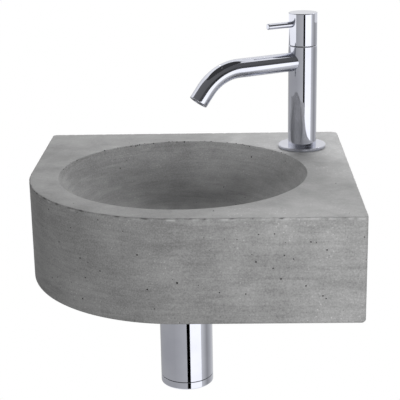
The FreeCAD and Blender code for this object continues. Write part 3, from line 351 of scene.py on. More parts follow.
@dataclass(frozen=True)
class PlatedMetal(Finish):
    """A metal with a bright or a turned skin.

    Bright chrome mirrors the room with hardly any haze. Turned brass and steel show the fine rings of the tool, so
    their highlights spread out.
    """

    colour: str = "#DCDEE8"
    dim: str = "#D4D6E1"
    smooth: float = 0.02
    dull: float = 0.06
    smear_mm: float = 30.0
    # The tool's rings: how far apart they are, how often they change across a metre, and their relief. Real ones
    # are closer together, and these are drawn as coarse as they need to show.
    ring_mm: float = 0.0
    ring_change: float = 9.0
    ring_relief: float = 0.3
    ring_depth_mm: float = 0.1

    def paint(self, tree: Tree, shader: bpy.types.Node, spot: Socket) -> None:
        """Paints smears of haze, and the tool's rings where the metal has them.

        Args:
            tree: The material's nodes.
            shader: The material's shader.
            spot: Object coordinates, in metres.
        """
        shader.inputs["Metallic"].default_value = 1.0
        smear = add_node(tree, "ShaderNodeTexNoise", {
            "Vector": spot, "Scale": 1 / (self.smear_mm * MM), "Detail": 3.0}).outputs["Fac"]
        base = self.cover(tree, shader, smear, NOISE_SPREAD, (self.dim, self.colour), (self.dull, self.smooth))
        tree.links.new(base, shader.inputs["Base Color"])
        if self.ring_mm:
            marks = add_node(tree, "ShaderNodeMapping", {
                "Vector": spot, "Scale": (self.ring_change, self.ring_change, 1 / (self.ring_mm * MM))})
            rings = add_node(tree, "ShaderNodeTexNoise", {"Vector": marks.outputs["Vector"], "Scale": 1.0})
            bump = add_node(tree, "ShaderNodeBump", {
                "Height": rings.outputs["Fac"], "Strength": self.ring_relief, "Distance": self.ring_depth_mm * MM})
            tree.links.new(bump.outputs["Normal"], shader.inputs["Normal"])


@dataclass(frozen=True)
class MouldedSkin(Finish):
    """A moulded or fired skin, such as rubber, polypropylene or alumina.

    The eye sees one even colour that drifts a little, and the grain of the mould.
    """

    colour: str = "#202021"
    drift: str = "#2A2A2B"
    rough: float = 0.7
    # A mould's grain is finer, and is drawn as coarse as it needs to show.
    grain_mm: float = 0.6
    relief: float = 0.2
    relief_mm: float = 0.1
    drift_mm: float = 12.0
    rough_drift: float = 0.06

    def paint(self, tree: Tree, shader: bpy.types.Node, spot: Socket) -> None:
        """Paints a drift of colour and the mould's grain.

        Args:
            tree: The material's nodes.
            shader: The material's shader.
            spot: Object coordinates, in metres.
        """
        drift = add_node(tree, "ShaderNodeTexNoise", {
            "Vector": spot, "Scale": 1 / (self.drift_mm * MM), "Detail": 2.0}).outputs["Fac"]
        base = self.cover(tree, shader, drift, NOISE_SPREAD, (self.colour, self.drift),
                          (self.rough - self.rough_drift, self.rough + self.rough_drift))
        tree.links.new(base, shader.inputs["Base Color"])
        grain = add_node(tree, "ShaderNodeTexNoise", {
            "Vector": spot, "Scale": 1 / (self.grain_mm * MM), "Detail": 2.0})
        bump = add_node(tree, "ShaderNodeBump", {
            "Height": grain.outputs["Fac"], "Strength": self.relief, "Distance": self.relief_mm * MM})
        tree.links.new(bump.outputs["Normal"], shader.inputs["Normal"])


FINISHES: dict[Slot, Finish] = {
    Slot.CONCRETE: CastConcrete("cast_concrete"),
    Slot.CHROME: PlatedMetal("chrome_plate"),
    Slot.BRASS: PlatedMetal("turned_brass", "#D9B36A", "#C79E55", smooth=0.24, dull=0.34, smear_mm=14.0, ring_mm=0.35),
    Slot.STEEL: PlatedMetal("zinc_plated_steel", "#C3C6C9", "#B0B4B8", smooth=0.26, dull=0.38, smear_mm=10.0,
                            ring_mm=0.4),
    Slot.RUBBER: MouldedSkin("moulded_rubber"),
    Slot.PLASTIC: MouldedSkin("moulded_polypropylene", "#E4E4E0", "#DCDCD7", rough=0.42, grain_mm=0.8, relief=0.12),
    Slot.CERAMIC: MouldedSkin("lapped_alumina", "#EEECE6", "#E6E3DB", rough=0.24, grain_mm=0.5, relief=0.05),
}
# The headwork shows as a grey line below the handle, so its brass is plated.
OWN_FINISHES: dict[str, Finish] = {
    "cartridge_body": PlatedMetal("nickel_plated_brass", "#BDBBB6", "#ABA9A3", smooth=0.22, dull=0.32, smear_mm=14.0,
                                  ring_mm=0.35)}


@dataclass(frozen=True)
class Corner:
    """A corner of a turned profile, with the radius that breaks it, in mm."""

    radius: float
    height: float
    ease: float = 0.0

    def point(self) -> Vector:
        """The corner as radius and height."""
        return Vector((self.radius, self.height))


@dataclass(frozen=True)
class Thread:
    """A screw thread on a turned piece, between two heights, in mm.

    Args:
        foot: The lower height.
        head: The upper height.
        pitch: How far apart its turns are.
        depth: How deep it is.
        plain: Up to how many depths from the axis the piece stays plain, so that its bore has no thread.
    """

    foot: float
    head: float
    pitch: float
    depth: float
    plain: float = 8.0

    def reaches(self, radius: float, height: float) -> bool:
        """Tells if the thread cuts a place on the piece's profile."""
        return self.foot <= height <= self.head and radius > self.depth * self.plain

    def cut(self, height: float, angle: float) -> float:
        """Gives how far the thread cuts in.

        Args:
            height: The height on the piece.
            angle: The angle round it, in radians.

        Returns:
            The depth in mm, fading out at the thread's ends.
        """
        fade = min(1.0, (height - self.foot) / self.pitch, (self.head - height) / self.pitch)
        turn = (height / self.pitch - angle / math.tau) % 1.0
        return self.depth * max(fade, 0.0) * abs(2 * turn - 1)

    def heights(self, per_turn: int = 10) -> list[float]:
        """The heights at which a profile needs points to carry the thread."""
        count = round((self.head - self.foot) / self.pitch * per_turn)
        return [self.foot + (self.head - self.foot) * step / count for step in range(count + 1)]


@dataclass(frozen=True)
class Drum:
    """One step of a solid turned shape: its radius, the heights of its two ends and their roundings, in mm."""

    radius: float
    start: float
    end: float
    start_ease: float = 0.0
    end_ease: float = 0.0


def stacked(*drums: Drum) -> list[Corner]:
    """Draws the profile of drums that follow each other on one axis.

    Args:
        drums: The drums, in order.

    Returns:
        The profile's corners.
    """
    corners = [Corner(0.0, drums[0].start)]
    for drum in drums:
        corners += [Corner(drum.radius, drum.start, drum.start_ease), Corner(drum.radius, drum.end, drum.end_ease)]
    return corners + [Corner(0.0, drums[-1].end)]


def quarter(steps: int) -> list[float]:
    """The angles of a quarter turn in even steps, in radians."""
    return [math.pi / 2 * step / steps for step in range(steps + 1)]


def eased(corners: Sequence[Corner], steps: int = 5, guard: float = 0.12) -> list[Vector]:
    """Rounds the corners of a closed profile.

    Args:
        corners: The profile's corners, in order.
        steps: How many straight pieces each rounding has.
        guard: How far past each rounding its guard points lie, as a share of its radius.

    Returns:
        The profile's points, as radius and height in mm.
    """
    points = []
    for index, corner in enumerate(corners):
        here = corner.point()
        if corner.ease <= 0:
            points.append(here)
            continue
        back = (corners[index - 1].point() - here).normalized()
        ahead = (corners[(index + 1) % len(corners)].point() - here).normalized()
        half = back.angle(ahead) / 2
        centre = here + (back + ahead).normalized() * (corner.ease / math.sin(half))
        start = here + back * (corner.ease / math.tan(half)) - centre
        end = here + ahead * (corner.ease / math.tan(half)) - centre
        sweep = math.pi - 2 * half
        # A point just outside each end keeps the long faces beside the rounding true.
        points.append(centre + start + back * (corner.ease * guard))
        for step in range(steps + 1):
            share = step / steps
            spread = start * math.sin((1 - share) * sweep) + end * math.sin(share * sweep)
            points.append(centre + spread / math.sin(sweep))
        points.append(centre + end + ahead * (corner.ease * guard))
    return points


def skin(rings: Sequence[Sequence[Vector]]) -> bmesh.types.BMesh:
    """Joins rings of points into a closed skin, the last ring to the first.

    Args:
        rings: Rings of as many points each, in mm. A ring of one point is a pole.

    Returns:
        The skin in metres, with its faces outwards.
    """
    shape = bmesh.new()
    count = max(len(ring) for ring in rings)
    made = []
    for ring in rings:
        row = [shape.verts.new(point * MM) for point in ring]
        made.append(row if len(row) == count else row * count)
    for row, following in zip(made, made[1:] + made[:1]):
        for index in range(count):
            after = (index + 1) % count
            corners = list(dict.fromkeys((row[index], row[after], following[after], following[index])))
            if len(corners) > 2:
                shape.faces.new(corners)
    bmesh.ops.recalc_face_normals(shape, faces=shape.faces)
    return shape


def turned(points: Sequence[Vector], segments: int, threads: Sequence[Thread] = ()) -> bmesh.types.BMesh:
    """Turns a closed profile round the Z axis.

    Args:
        points: The profile, as radius and height in mm.
        segments: How many points each ring has.
        threads: The threads cut in it.

    Returns:
        The turned shape, in metres.
    """
    angles = [math.tau * index / segments for index in range(segments)]
    rings = []
    for radius, height in points:
        if radius < POLE_RADIUS:
            rings.append([Vector((0.0, 0.0, height))])
            continue
        cutting = [thread for thread in threads if thread.reaches(radius, height)]
        ring = []
        for angle in angles:
            reach = radius - sum(thread.cut(height, angle) for thread in cutting)
            ring.append(Vector((reach * math.cos(angle), reach * math.sin(angle), height)))
        rings.append(ring)
    return skin(rings)


def lathe(corners: Sequence[Corner], segments: int, name: str, place: Matrix = Matrix.Identity(4),
          threads: Sequence[Thread] = ()) -> Mesh:
    """Turns a profile with its corners eased, and puts it in its place.

    Args:
        corners: The profile's corners, in order.
        segments: How many points each ring has.
        name: The mesh's name.
        place: Its place, in metres.
        threads: The threads cut in it.

    Returns:
        The mesh, smooth but for its sharp edges.
    """
    return to_mesh(turned(eased(corners), segments, threads), name, place)


def to_mesh(shape: bmesh.types.BMesh, name: str, place: Matrix = Matrix.Identity(4)) -> Mesh:
    """Makes a mesh of a shape and puts it in its place.

    Args:
        shape: The shape, which is freed.
        name: The mesh's name.
        place: Its place, in metres.

    Returns:
        The mesh, smooth but for its sharp edges.
    """
    mesh = bpy.data.meshes.new(name)
    shape.to_mesh(mesh)
    shape.free()
    mesh.transform(place)
    return smoothed(mesh)


def smoothed(mesh: Mesh, angle: float = 32.0) -> Mesh:
    """Shades a mesh smooth, and sharp where it turns by more than an angle.

    Args:
        mesh: The mesh.
        angle: The angle in degrees.

    Returns:
        The same mesh.
    """
    mesh.shade_smooth()
    mesh.set_sharp_from_angle(angle=math.radians(angle))
    return mesh


def evaluated(carrier: bpy.types.Object) -> Mesh:
    """Turns an object with modifiers into a plain mesh.

    Args:
        carrier: The object, which is removed.

    Returns:
        The plain mesh.
    """
    graph = bpy.context.evaluated_depsgraph_get()
    mesh = bpy.data.meshes.new_from_object(carrier.evaluated_get(graph), depsgraph=graph)
    name = carrier.data.name
    bpy.data.objects.remove(carrier)
    mesh.name = name
    return smoothed(mesh)


def carried(mesh: Mesh) -> bpy.types.Object:
    """Puts a mesh in the scene on an object of its own.

    Args:
        mesh: The mesh.

    Returns:
        The object.
    """
    carrier = bpy.data.objects.new(mesh.name, mesh)
    bpy.context.scene.collection.objects.link(carrier)
    return carrier


def cut(mesh: Mesh, cutters: Sequence[Mesh]) -> Mesh:
    """Cuts other meshes out of a mesh.

    Args:
        mesh: The mesh that is cut.
        cutters: What is taken out of it.

    Returns:
        What is left, as a plain mesh.
    """
    piece = carried(mesh)
    tools = [carried(cutter) for cutter in cutters]
    for tool in tools:
        modifier = piece.modifiers.new(tool.name, "BOOLEAN")
        modifier.operation = "DIFFERENCE"
        modifier.solver = "MANIFOLD"
        modifier.object = tool
    left = evaluated(piece)
    for tool in tools:
        bpy.data.objects.remove(tool)
    return left


def grown(mesh: Mesh, tree: Tree, given: dict[str, Any]) -> Mesh:
    """Runs a mesh through a tree of Geometry Nodes.

    Args:
        mesh: The mesh that goes in.
        tree: The tree.
        given: The tree's inputs by name.

    Returns:
        The tree's result, as a plain mesh.
    """
    carrier = carried(mesh)
    modifier = carrier.modifiers.new(tree.name, "NODES")
    modifier.node_group = tree
    for item in tree.interface.items_tree:
        if item.in_out == "INPUT" and item.name in given:
            modifier[item.identifier] = given[item.name]
    return evaluated(carrier)


def new_tree(name: str, inputs: Sequence[tuple[str, str]]) -> tuple[Tree, bpy.types.Node]:
    """Starts a tree of Geometry Nodes.

    Args:
        name: The tree's name.
        inputs: Each input's name and kind of socket, after the mesh itself.

    Returns:
        The tree and the node that holds its inputs.
    """
    tree = bpy.data.node_groups.new(name, "GeometryNodeTree")
    tree.interface.new_socket("Geometry", in_out="INPUT", socket_type="NodeSocketGeometry")
    for label, kind in inputs:
        tree.interface.new_socket(label, in_out="INPUT", socket_type=kind)
    tree.interface.new_socket("Geometry", in_out="OUTPUT", socket_type="NodeSocketGeometry")
    return tree, add_node(tree, "NodeGroupInput")


def end_tree(tree: Tree, entry: bpy.types.Node, cutters: Socket) -> None:
    """Ends a tree that cuts shapes out of its mesh.

    Args:
        tree: The tree.
        entry: The node that holds its inputs.
        cutters: The shapes.
    """
    solid = add_node(tree, "GeometryNodeRealizeInstances", {"Geometry": cutters})
    taken = add_node(tree, "GeometryNodeMeshBoolean", operation="DIFFERENCE", solver="MANIFOLD")
    tree.links.new(entry.outputs["Geometry"], taken.inputs["Mesh 1"])
    tree.links.new(solid.outputs["Geometry"], taken.inputs["Mesh 2"])
    plain = add_node(tree, "GeometryNodeRealizeInstances", {"Geometry": taken.outputs["Mesh"]})
    dressed = add_node(tree, "GeometryNodeSetMaterial", {
        "Geometry": plain.outputs["Geometry"], "Material": entry.outputs["Material"]})
    add_node(tree, "NodeGroupOutput", {"Geometry": dressed.outputs["Geometry"]})


def air_hole_tree() -> Tree:
    """Makes the tree that opens air holes and chips in cast concrete.

    Returns:
        The tree. Upright faces hold more holes than level ones, and Marks adds places with sizes of their own.
    """
    tree, entry = new_tree("air_holes", [
        ("Spacing", "NodeSocketFloat"), ("Density", "NodeSocketFloat"), ("Level Share", "NodeSocketFloat"),
        ("Smallest", "NodeSocketFloat"), ("Largest", "NodeSocketFloat"), ("Seed", "NodeSocketInt"),
        ("Marks", "NodeSocketObject"), ("Material", "NodeSocketMaterial")])
    # A face is upright up to the first of these rises, and level from the second.
    upright, level = 0.2, 0.5
    # The power that makes large holes rarer than small ones.
    rarity = 3.0
    slope = add_node(tree, "ShaderNodeSeparateXYZ", {0: add_node(tree, "GeometryNodeInputNormal").outputs["Normal"]})
    flat = add_node(tree, "ShaderNodeMath", {0: slope.outputs["Z"]}, operation="ABSOLUTE")
    share = add_node(tree, "ShaderNodeMapRange", {
        "Value": flat.outputs[0], "From Min": upright, "From Max": level, "To Min": 1.0,
        "To Max": entry.outputs["Level Share"]})
    places = add_node(tree, "GeometryNodeDistributePointsOnFaces", {
        "Mesh": entry.outputs["Geometry"], "Distance Min": entry.outputs["Spacing"],
        "Density Max": entry.outputs["Density"], "Density Factor": share.outputs["Result"],
        "Seed": entry.outputs["Seed"]}, distribute_method="POISSON")
    chance = add_node(tree, "FunctionNodeRandomValue", {"Seed": entry.outputs["Seed"]}, data_type="FLOAT")
    rare = add_node(tree, "ShaderNodeMath", {0: chance.outputs[1], 1: rarity}, operation="POWER")
    size = add_node(tree, "ShaderNodeMapRange", {
        "Value": rare.outputs[0], "To Min": entry.outputs["Smallest"], "To Max": entry.outputs["Largest"]})
    plain_ball = add_node(tree, "GeometryNodeMeshIcoSphere", {"Radius": 1.0, "Subdivisions": 2})
    # The ball marks every face it cuts, so that air holes and chips are painted dark inside as shade.
    ball = add_node(tree, "GeometryNodeStoreNamedAttribute", {
        "Geometry": plain_ball.outputs["Mesh"], "Name": "pit", "Value": 1.0}, data_type="FLOAT", domain="FACE")
    holes = add_node(tree, "GeometryNodeInstanceOnPoints", {
        "Points": places.outputs["Points"], "Instance": ball.outputs["Geometry"],
        "Rotation": places.outputs["Rotation"], "Scale": size.outputs["Result"]})
    marks = add_node(tree, "GeometryNodeObjectInfo", {"Object": entry.outputs["Marks"]})
    width = add_node(tree, "GeometryNodeInputNamedAttribute", {"Name": "width"}, data_type="FLOAT")
    chips = add_node(tree, "GeometryNodeInstanceOnPoints", {
        "Points": marks.outputs["Geometry"], "Instance": ball.outputs["Geometry"],
        "Scale": width.outputs["Attribute"]})
    both = add_node(tree, "GeometryNodeJoinGeometry")
    tree.links.new(holes.outputs["Instances"], both.inputs["Geometry"])
    tree.links.new(chips.outputs["Instances"], both.inputs["Geometry"])
    end_tree(tree, entry, both.outputs["Geometry"])
    return tree


def ring_cut_tree() -> Tree:
    """Makes the tree that cuts a ring of holes or flutes in a turned piece.

    Returns:
        The tree, whose ring lies round the piece's Z axis and repeats the shape of Tool.
    """
    tree, entry = new_tree("ring_cuts", [
        ("Count", "NodeSocketInt"), ("Ring Radius", "NodeSocketFloat"), ("Tool", "NodeSocketObject"),
        ("Material", "NodeSocketMaterial")])
    ring = add_node(tree, "GeometryNodeMeshCircle", {
        "Vertices": entry.outputs["Count"], "Radius": entry.outputs["Ring Radius"]})
    tool = add_node(tree, "GeometryNodeObjectInfo", {"Object": entry.outputs["Tool"]})
    cuts = add_node(tree, "GeometryNodeInstanceOnPoints", {
        "Points": ring.outputs["Mesh"], "Instance": tool.outputs["Geometry"]})
    end_tree(tree, entry, cuts.outputs["Instances"])
    return tree


def ringed(mesh: Mesh, tree: Tree, profile: Sequence[Corner], count: int, radius: float) -> Mesh:
    """Cuts a ring of turned shapes out of a piece.

    Args:
        mesh: The piece, with its axis on Z.
        tree: The tree of ring cuts.
        profile: The shape that is cut, in mm.
        count: How many times it is cut.
        radius: The ring's radius in mm.

    Returns:
        The cut piece.
    """
    tool = carried(to_mesh(turned(eased(profile, RING_TOOL_STEPS), RING_TOOL_FACETS), "ring_tool"))
    piece = grown(mesh, tree, {"Count": count, "Ring Radius": radius * MM, "Tool": tool,
                               "Material": FINISHES[Slot.CHROME].material()})
    bpy.data.objects.remove(tool)
    return piece


def block(low: Vector, high: Vector, name: str) -> Mesh:
    """Makes a box between two corners.

    Args:
        low: The lower corner in mm.
        high: The upper corner in mm.
        name: The mesh's name.

    Returns:
        The box, in metres.
    """
    plan = [(low.x, low.y), (high.x, low.y), (high.x, high.y), (low.x, high.y)]
    centre = (low + high) / 2
    rings = [[Vector((centre.x, centre.y, low.z))]]
    for height in (low.z, high.z):
        rings.append([Vector((x, y, height)) for x, y in plan])
    rings.append([Vector((centre.x, centre.y, high.z))])
    return to_mesh(skin(rings), name)


def dress(mesh: Mesh, slot: Slot, body: Body, node: str) -> None:
    """Makes a piece of a mesh, gives it its finish and lets it ride.

    Args:
        mesh: The piece's mesh, in the row frame.
        slot: The record's slot that it takes its finish from.
        body: The body that it rides on.
        node: The CAD node that it stands for.
    """
    mesh.materials.clear()
    mesh.materials.append(FINISHES[slot].material())
    piece = carried(mesh)
    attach(piece, body.value)
    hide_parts(node)
    LOG.info("%s stands for %s, %d faces", piece.name, node, len(mesh.polygons))


def middle(node: str) -> Vector:
    """The middle of a CAD node's box, in mm."""
    low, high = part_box(node)
    return (low + high) / (2 * MM)


@dataclass(frozen=True)
class Grit:
    """Noise of two sizes that says how rough an edge is.

    Args:
        coarse: The larger size in mm.
        fine: The smaller size in mm.
        coarse_share: How much the larger one counts.
        fine_share: How much the smaller one counts.
        shift: How far the larger one is moved, in its own size.
    """

    coarse: float
    fine: float
    coarse_share: float = 1.0
    fine_share: float = 0.5
    shift: Triple = (0.0, 0.0, 0.0)

    def at(self, spot: Vector) -> float:
        """The noise at a place, above or below nothing."""
        large = noise.noise(spot / self.coarse + Vector(self.shift))
        return self.coarse_share * large + self.fine_share * noise.noise(spot / self.fine)


def swell(spot: Vector, length: float) -> float:
    """Gives slow noise from 0 to 1, for a place and a length in mm."""
    return 0.5 + 0.5 * noise.noise(spot / length)


def nearness(distance: float, reach: Pair) -> float:
    """Gives 1 up to the first length of a reach, and then fades out over the second."""
    return max(0.0, 1.0 - max(0.0, distance - reach[0]) / reach[1])


@dataclass(frozen=True)
class WornAndShadedEdges:
    """How the casting's edges are chipped, crumbled with painted shade, and rubbed. Lengths are in mm."""

    # Chips come in patches along an edge, where their grit is above chip_from, and are wider than they are high.
    chips: Grit = Grit(6.0, 2.2, 0.6, 0.4)
    chip_flatness: float = 2.0
    chip_from: float = 0.10
    chip_depth: float = 1.7
    patch_length: float = 45.0
    patch_gain: float = 0.12
    # The outer edge is crumbled, with painted shade, and rubbed between these drops below the top.
    band: Pair = (0.2, 2.5)
    lean: float = 0.16
    most: float = 0.80
    shaded_crumbs: Grit = Grit(6.0, 2.2)
    shaded_crumbs_from: float = 0.08
    shaded_crumbs_least: float = 0.3
    shaded_crumbs_drop: float = 1.3
    shaded_crumbs_widening: float = 2.5
    rubs: Grit = Grit(8.0, 3.0, fine_share=0.4, shift=(31.0, 7.0, 3.0))
    rubs_from: float = 0.10
    rubs_least: float = 0.25
    rubs_gain: float = 1.6
    rubs_drop: float = 1.0

    def bite(self, point: Vector, height: float) -> float:
        """Gives how deep an edge is chipped at a place.

        Args:
            point: The place in plan.
            height: Its height.

        Returns:
            The depth, nothing along most of the edge.
        """
        spot = Vector((point.x, point.y, height * self.chip_flatness))
        patch = swell(spot, self.patch_length)
        return max(0.0, self.chips.at(spot) - self.chip_from + self.patch_gain * patch) * self.chip_depth * patch

    def wear_and_shade(self, spot: Vector, drop: float, end: float) -> float:
        """Gives where the top's outer edge is crumbled, with painted shade, and where it is rubbed.

        Args:
            spot: A place on the skin.
            drop: How far it lies below the top.
            end: Where the tap's end is, along the wall.

        Returns:
            Above nothing where it is crumbled and painted dark as shade, below nothing where it is rubbed pale.
        """
        if not self.band[0] < drop < self.band[1]:
            return 0.0
        along = Vector((spot.x, spot.y, 0.0))
        # The round corner is more crumbled and gets more painted shade, and the tap's end more rubbed.
        lean = self.lean * spot.x / end
        crumbled = self.shaded_crumbs.at(along) - lean
        rubbed = self.rubs.at(along) + lean
        width = self.shaded_crumbs_drop * min(1.0, self.shaded_crumbs_widening * crumbled)
        if crumbled > self.shaded_crumbs_from and drop < self.band[0] + width:
            return min(self.most, self.shaded_crumbs_least + crumbled)
        if rubbed > self.rubs_from and drop > self.rubs_drop:
            return -min(self.most, self.rubs_least + self.rubs_gain * (rubbed - self.rubs_from))
        return 0.0


@dataclass
class ConcreteCasting:
    """The cast body: its plan, bowl, holes, chipped edges marked for painted shade, and air holes. Sizes are in mm."""

    # The plan: its round corner, its upright edges, and how far apart its stations are.
    corner_radius: float = 147.0
    upright_radius: float = 4.5
    upright_steps: int = 8
    station: float = 1.5
    foot_radius: float = 3.5
    foot_inset: float = 4.2
    foot_steps: int = 6
    wall_steps: int = 10
    wall_guard: float = 4.5
    arris_radius: float = 1.2
    arris_steps: int = 5
    # Rings that keep the faces beside the top's outer edge true: how far below it and how far in from it they lie.
    arris_drops: tuple[float, ...] = (2.6, 1.3, 0.5)
    arris_insets: tuple[float, ...] = (1.7, 2.5, 3.8)
    rim_radius: float = 1.0
    rim_guards: Pair = (6.0, 2.4)
    # The outer edge's crumbling, painted shade and rubbing stay this far from the bowl's rim.
    rim_clear: float = 8.0
    # The bowl's side is an arc with a radius of bowl_sweep, and its points crowd towards the rim.
    bowl_radius: float = 119.7
    bowl_depth: float = 66.0
    bowl_sweep: float = 97.0
    bowl_steps: int = 20
    bowl_crowding: float = 1.25
    seat_radius: float = 32.5
    seat_depth: float = 3.0
    seat_ease: float = 0.6
    waste_hole: float = 22.455
    waste_ease: float = 0.5
    waste_guard: float = 6.0
    tap_hole: float = 16.0
    tap_slab: float = 36.0
    pocket_radius: float = 32.0
    pocket_ease: float = 1.0
    hole_facets: int = 128
    bore_radius: float = 8.05
    bore_depth: float = 60.05
    bore_spread: float = 60.0
    bore_facets: int = 48
    # How far a cutter stands out of the casting.
    overrun: float = 2.0
    edges: WornAndShadedEdges = WornAndShadedEdges()
    # How far from an edge its chips are full, and over what length they fade out.
    arris_reach: Pair = (0.6, 1.8)
    rim_reach: Pair = (0.5, 2.0)
    # A chip goes inwards and downwards by this share of its depth.
    chip_slant: float = 0.7
    # The rim's chips: how fast they come in towards the back, how far in at the sides, and how deep.
    rim_turn: float = 1.6
    rim_start: float = 0.15
    rim_gain: float = 1.25
    # How far in the walls sway, and over what length.
    sway: float = 0.12
    sway_length: float = 30.0
    # Where the bowl's rim is chipped, in degrees from its right: from, thinning out after, and to.
    chipped: Triple = (28.0, 126.0, 168.0)
    chip_seed: int = 11
    chip_step: Pair = (0.5, 3.0)
    thin_step: Pair = (3.0, 11.0)
    chip_out: Pair = (-0.5, 1.5)
    chip_drop: Pair = (0.0, 1.3)
    chip_width: Pair = (0.3, 1.0)
    # Small air holes: their least spacing, how many a square metre gets, their share on level faces, and their sizes.
    air_spacing: float = 5.0
    air_density: float = 5200.0
    air_level_share: float = 0.16
    air_sizes: Pair = (0.22, 0.8)
    air_seed: int = 4
    # Air holes that show on the front: along the wall, above the middle, and how wide.
    front_holes: tuple[Triple, ...] = (
        (-8.7, -13.3, 0.95), (59.3, 5.3, 0.85), (80.7, -10.5, 0.85), (102.2, -17.1, 0.8), (106.1, 22.9, 0.7),
        (119.8, 15.5, 0.75), (116.9, -26.5, 0.75))
    corner_holes: tuple[Triple, ...] = (
        (-95.3, 0.0, 0.8), (-42.7, 11.2, 0.8), (-76.8, -8.1, 0.75), (-116.0, 9.0, 0.7))

    def __post_init__(self) -> None:
        """Takes the casting's corners and the axes of bowl and tap from the frame."""
        low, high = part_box("basin_body")
        self.low = low / MM
        self.high = high / MM
        self.bowl = middle("waste_body").to_2d()
        self.tap = middle("tap_base_flange").to_2d()

    def outline(self) -> list[tuple[Vector, Vector]]:
        """Walks round the plan, anticlockwise from above.

        Returns:
            Each station's place and outward normal.
        """
        small, large = self.upright_radius, self.corner_radius
        left, front, right, back = self.low.x, self.low.y, self.high.x, self.high.y
        arcs = [(Vector((right - small, front + small)), small, -90.0),
                (Vector((right - small, back - small)), small, 0.0),
                (Vector((left + small, back - small)), small, 90.0),
                (Vector((left + large, front + large)), large, 180.0)]
        stations = []
        for index, (centre, radius, start) in enumerate(arcs):
            steps = max(self.upright_steps, round(radius * math.pi / 2 / self.station))
            for step in range(steps + 1):
                angle = math.radians(start + 90.0 * step / steps)
                normal = Vector((math.cos(angle), math.sin(angle)))
                stations.append((centre + normal * radius, normal))
            ahead, reach, _ = arcs[(index + 1) % len(arcs)]
            begin = stations[-1][0]
            run = ahead + normal * reach - begin
            steps = round(run.length / self.station)
            stations.extend((begin + run * (step / steps), normal) for step in range(1, steps))
        return stations

    def level(self, stations: Sequence[tuple[Vector, Vector]], inset: float, height: float) -> list[Vector]:
        """Makes a ring that follows the plan.

        Args:
            stations: The plan's stations.
            inset: How far in from the plan the ring lies.
            height: Its height.

        Returns:
            The ring, with the top edge's chips in it.
        """
        near = nearness(math.hypot(inset, self.high.z - height), self.arris_reach)
        ring = []
        for point, normal in stations:
            bite = near * self.edges.bite(point, height) if near else 0.0
            sway = self.sway * swell(Vector((point.x, point.y, height)), self.sway_length) if inset == 0 else 0.0
            place = point - normal * (inset + self.chip_slant * bite + sway)
            ring.append(Vector((place.x, place.y, height - self.chip_slant * bite)))
        return ring

    def circle(self, stations: Sequence[tuple[Vector, Vector]], radius: float, height: float) -> list[Vector]:
        """Makes a ring round the bowl's axis.

        Args:
            stations: The plan's stations, which give the ring its points.
            radius: The ring's radius.
            height: Its height.

        Returns:
            The ring, with the back rim's chips in it.
        """
        near = nearness(math.hypot(radius - self.bowl_radius, height - self.high.z), self.rim_reach)
        ring = []
        for point, _ in stations:
            out = (point - self.bowl).normalized()
            place = self.bowl + out * radius
            behind = min(1.0, max(0.0, out.y * self.rim_turn + self.rim_start))
            bite = near * behind * self.rim_gain * self.edges.bite(place, height) if near else 0.0
            place += out * (self.chip_slant * bite)
            ring.append(Vector((place.x, place.y, height - self.chip_slant * bite)))
        return ring

    def bowl_profile(self) -> list[Vector]:
        """Draws the bowl from the rim to the foot of the waste hole.

        Returns:
            Points as radius and height.
        """
        top = self.high.z
        floor = top - self.bowl_depth
        rim = Vector((self.bowl_radius, top))
        foot = Vector((self.seat_radius, floor))
        chord = foot - rim
        half = chord.length / 2
        away = Vector((chord.y, -chord.x)).normalized()
        centre = (rim + foot) / 2 + away * math.sqrt(self.bowl_sweep ** 2 - half ** 2)
        first = math.atan2(rim.y - centre.y, rim.x - centre.x)
        last = math.atan2(foot.y - centre.y, foot.x - centre.x)
        corners = [Corner(self.bowl_radius + guard, top) for guard in self.rim_guards]
        corners.append(Corner(self.bowl_radius, top, self.rim_radius))
        for step in range(1, self.bowl_steps):
            angle = first + (last - first) * (step / self.bowl_steps) ** self.bowl_crowding
            corners.append(Corner(centre.x + self.bowl_sweep * math.cos(angle),
                                  centre.y + self.bowl_sweep * math.sin(angle)))
        seat = floor - self.seat_depth
        corners += [Corner(self.seat_radius, floor, self.seat_ease), Corner(self.seat_radius, seat),
                    Corner(self.waste_hole, seat, self.waste_ease), Corner(self.waste_hole, self.low.z)]
        return eased(corners)

    def shell(self) -> Mesh:
        """Builds the closed skin of the casting, before its holes are cut.

        Returns:
            The mesh, in metres.
        """
        stations = self.outline()
        top, foot = self.high.z, self.low.z
        rings = [self.circle(stations, self.waste_hole + self.waste_guard, foot),
                 self.level(stations, self.foot_inset, foot)]
        for angle in quarter(self.foot_steps):
            rings.append(self.level(stations, self.foot_radius * (1 - math.sin(angle)),
                                    foot + self.foot_radius * (1 - math.cos(angle))))
        low, high = foot + self.foot_radius, top - self.arris_radius
        for step in range(1, self.wall_steps + 1):
            rings.append(self.level(stations, 0.0, low + (high - self.wall_guard - low) * step / self.wall_steps))
        for drop in self.arris_drops:
            rings.append(self.level(stations, 0.0, high - drop))
        for angle in quarter(self.arris_steps):
            rings.append(self.level(stations, self.arris_radius * (1 - math.cos(angle)),
                                    high + self.arris_radius * math.sin(angle)))
        for inset in self.arris_insets:
            rings.append(self.level(stations, inset, top))
        for radius, height in self.bowl_profile():
            rings.append(self.circle(stations, radius, height))
        mesh = to_mesh(skin(rings), "concrete_casting")
        # Faces along the top's outer edge are marked for painted shade where crumbled, and for paleness where rubbed.
        shade_and_wear_mark = mesh.attributes.new("edge", "FLOAT", "FACE")
        for face in mesh.polygons:
            spot = face.center / MM
            if (spot.to_2d() - self.bowl).length > self.bowl_radius + self.rim_clear:
                shade_and_wear_mark.data[face.index].value = self.edges.wear_and_shade(spot, top - spot.z, self.high.x)
        return mesh

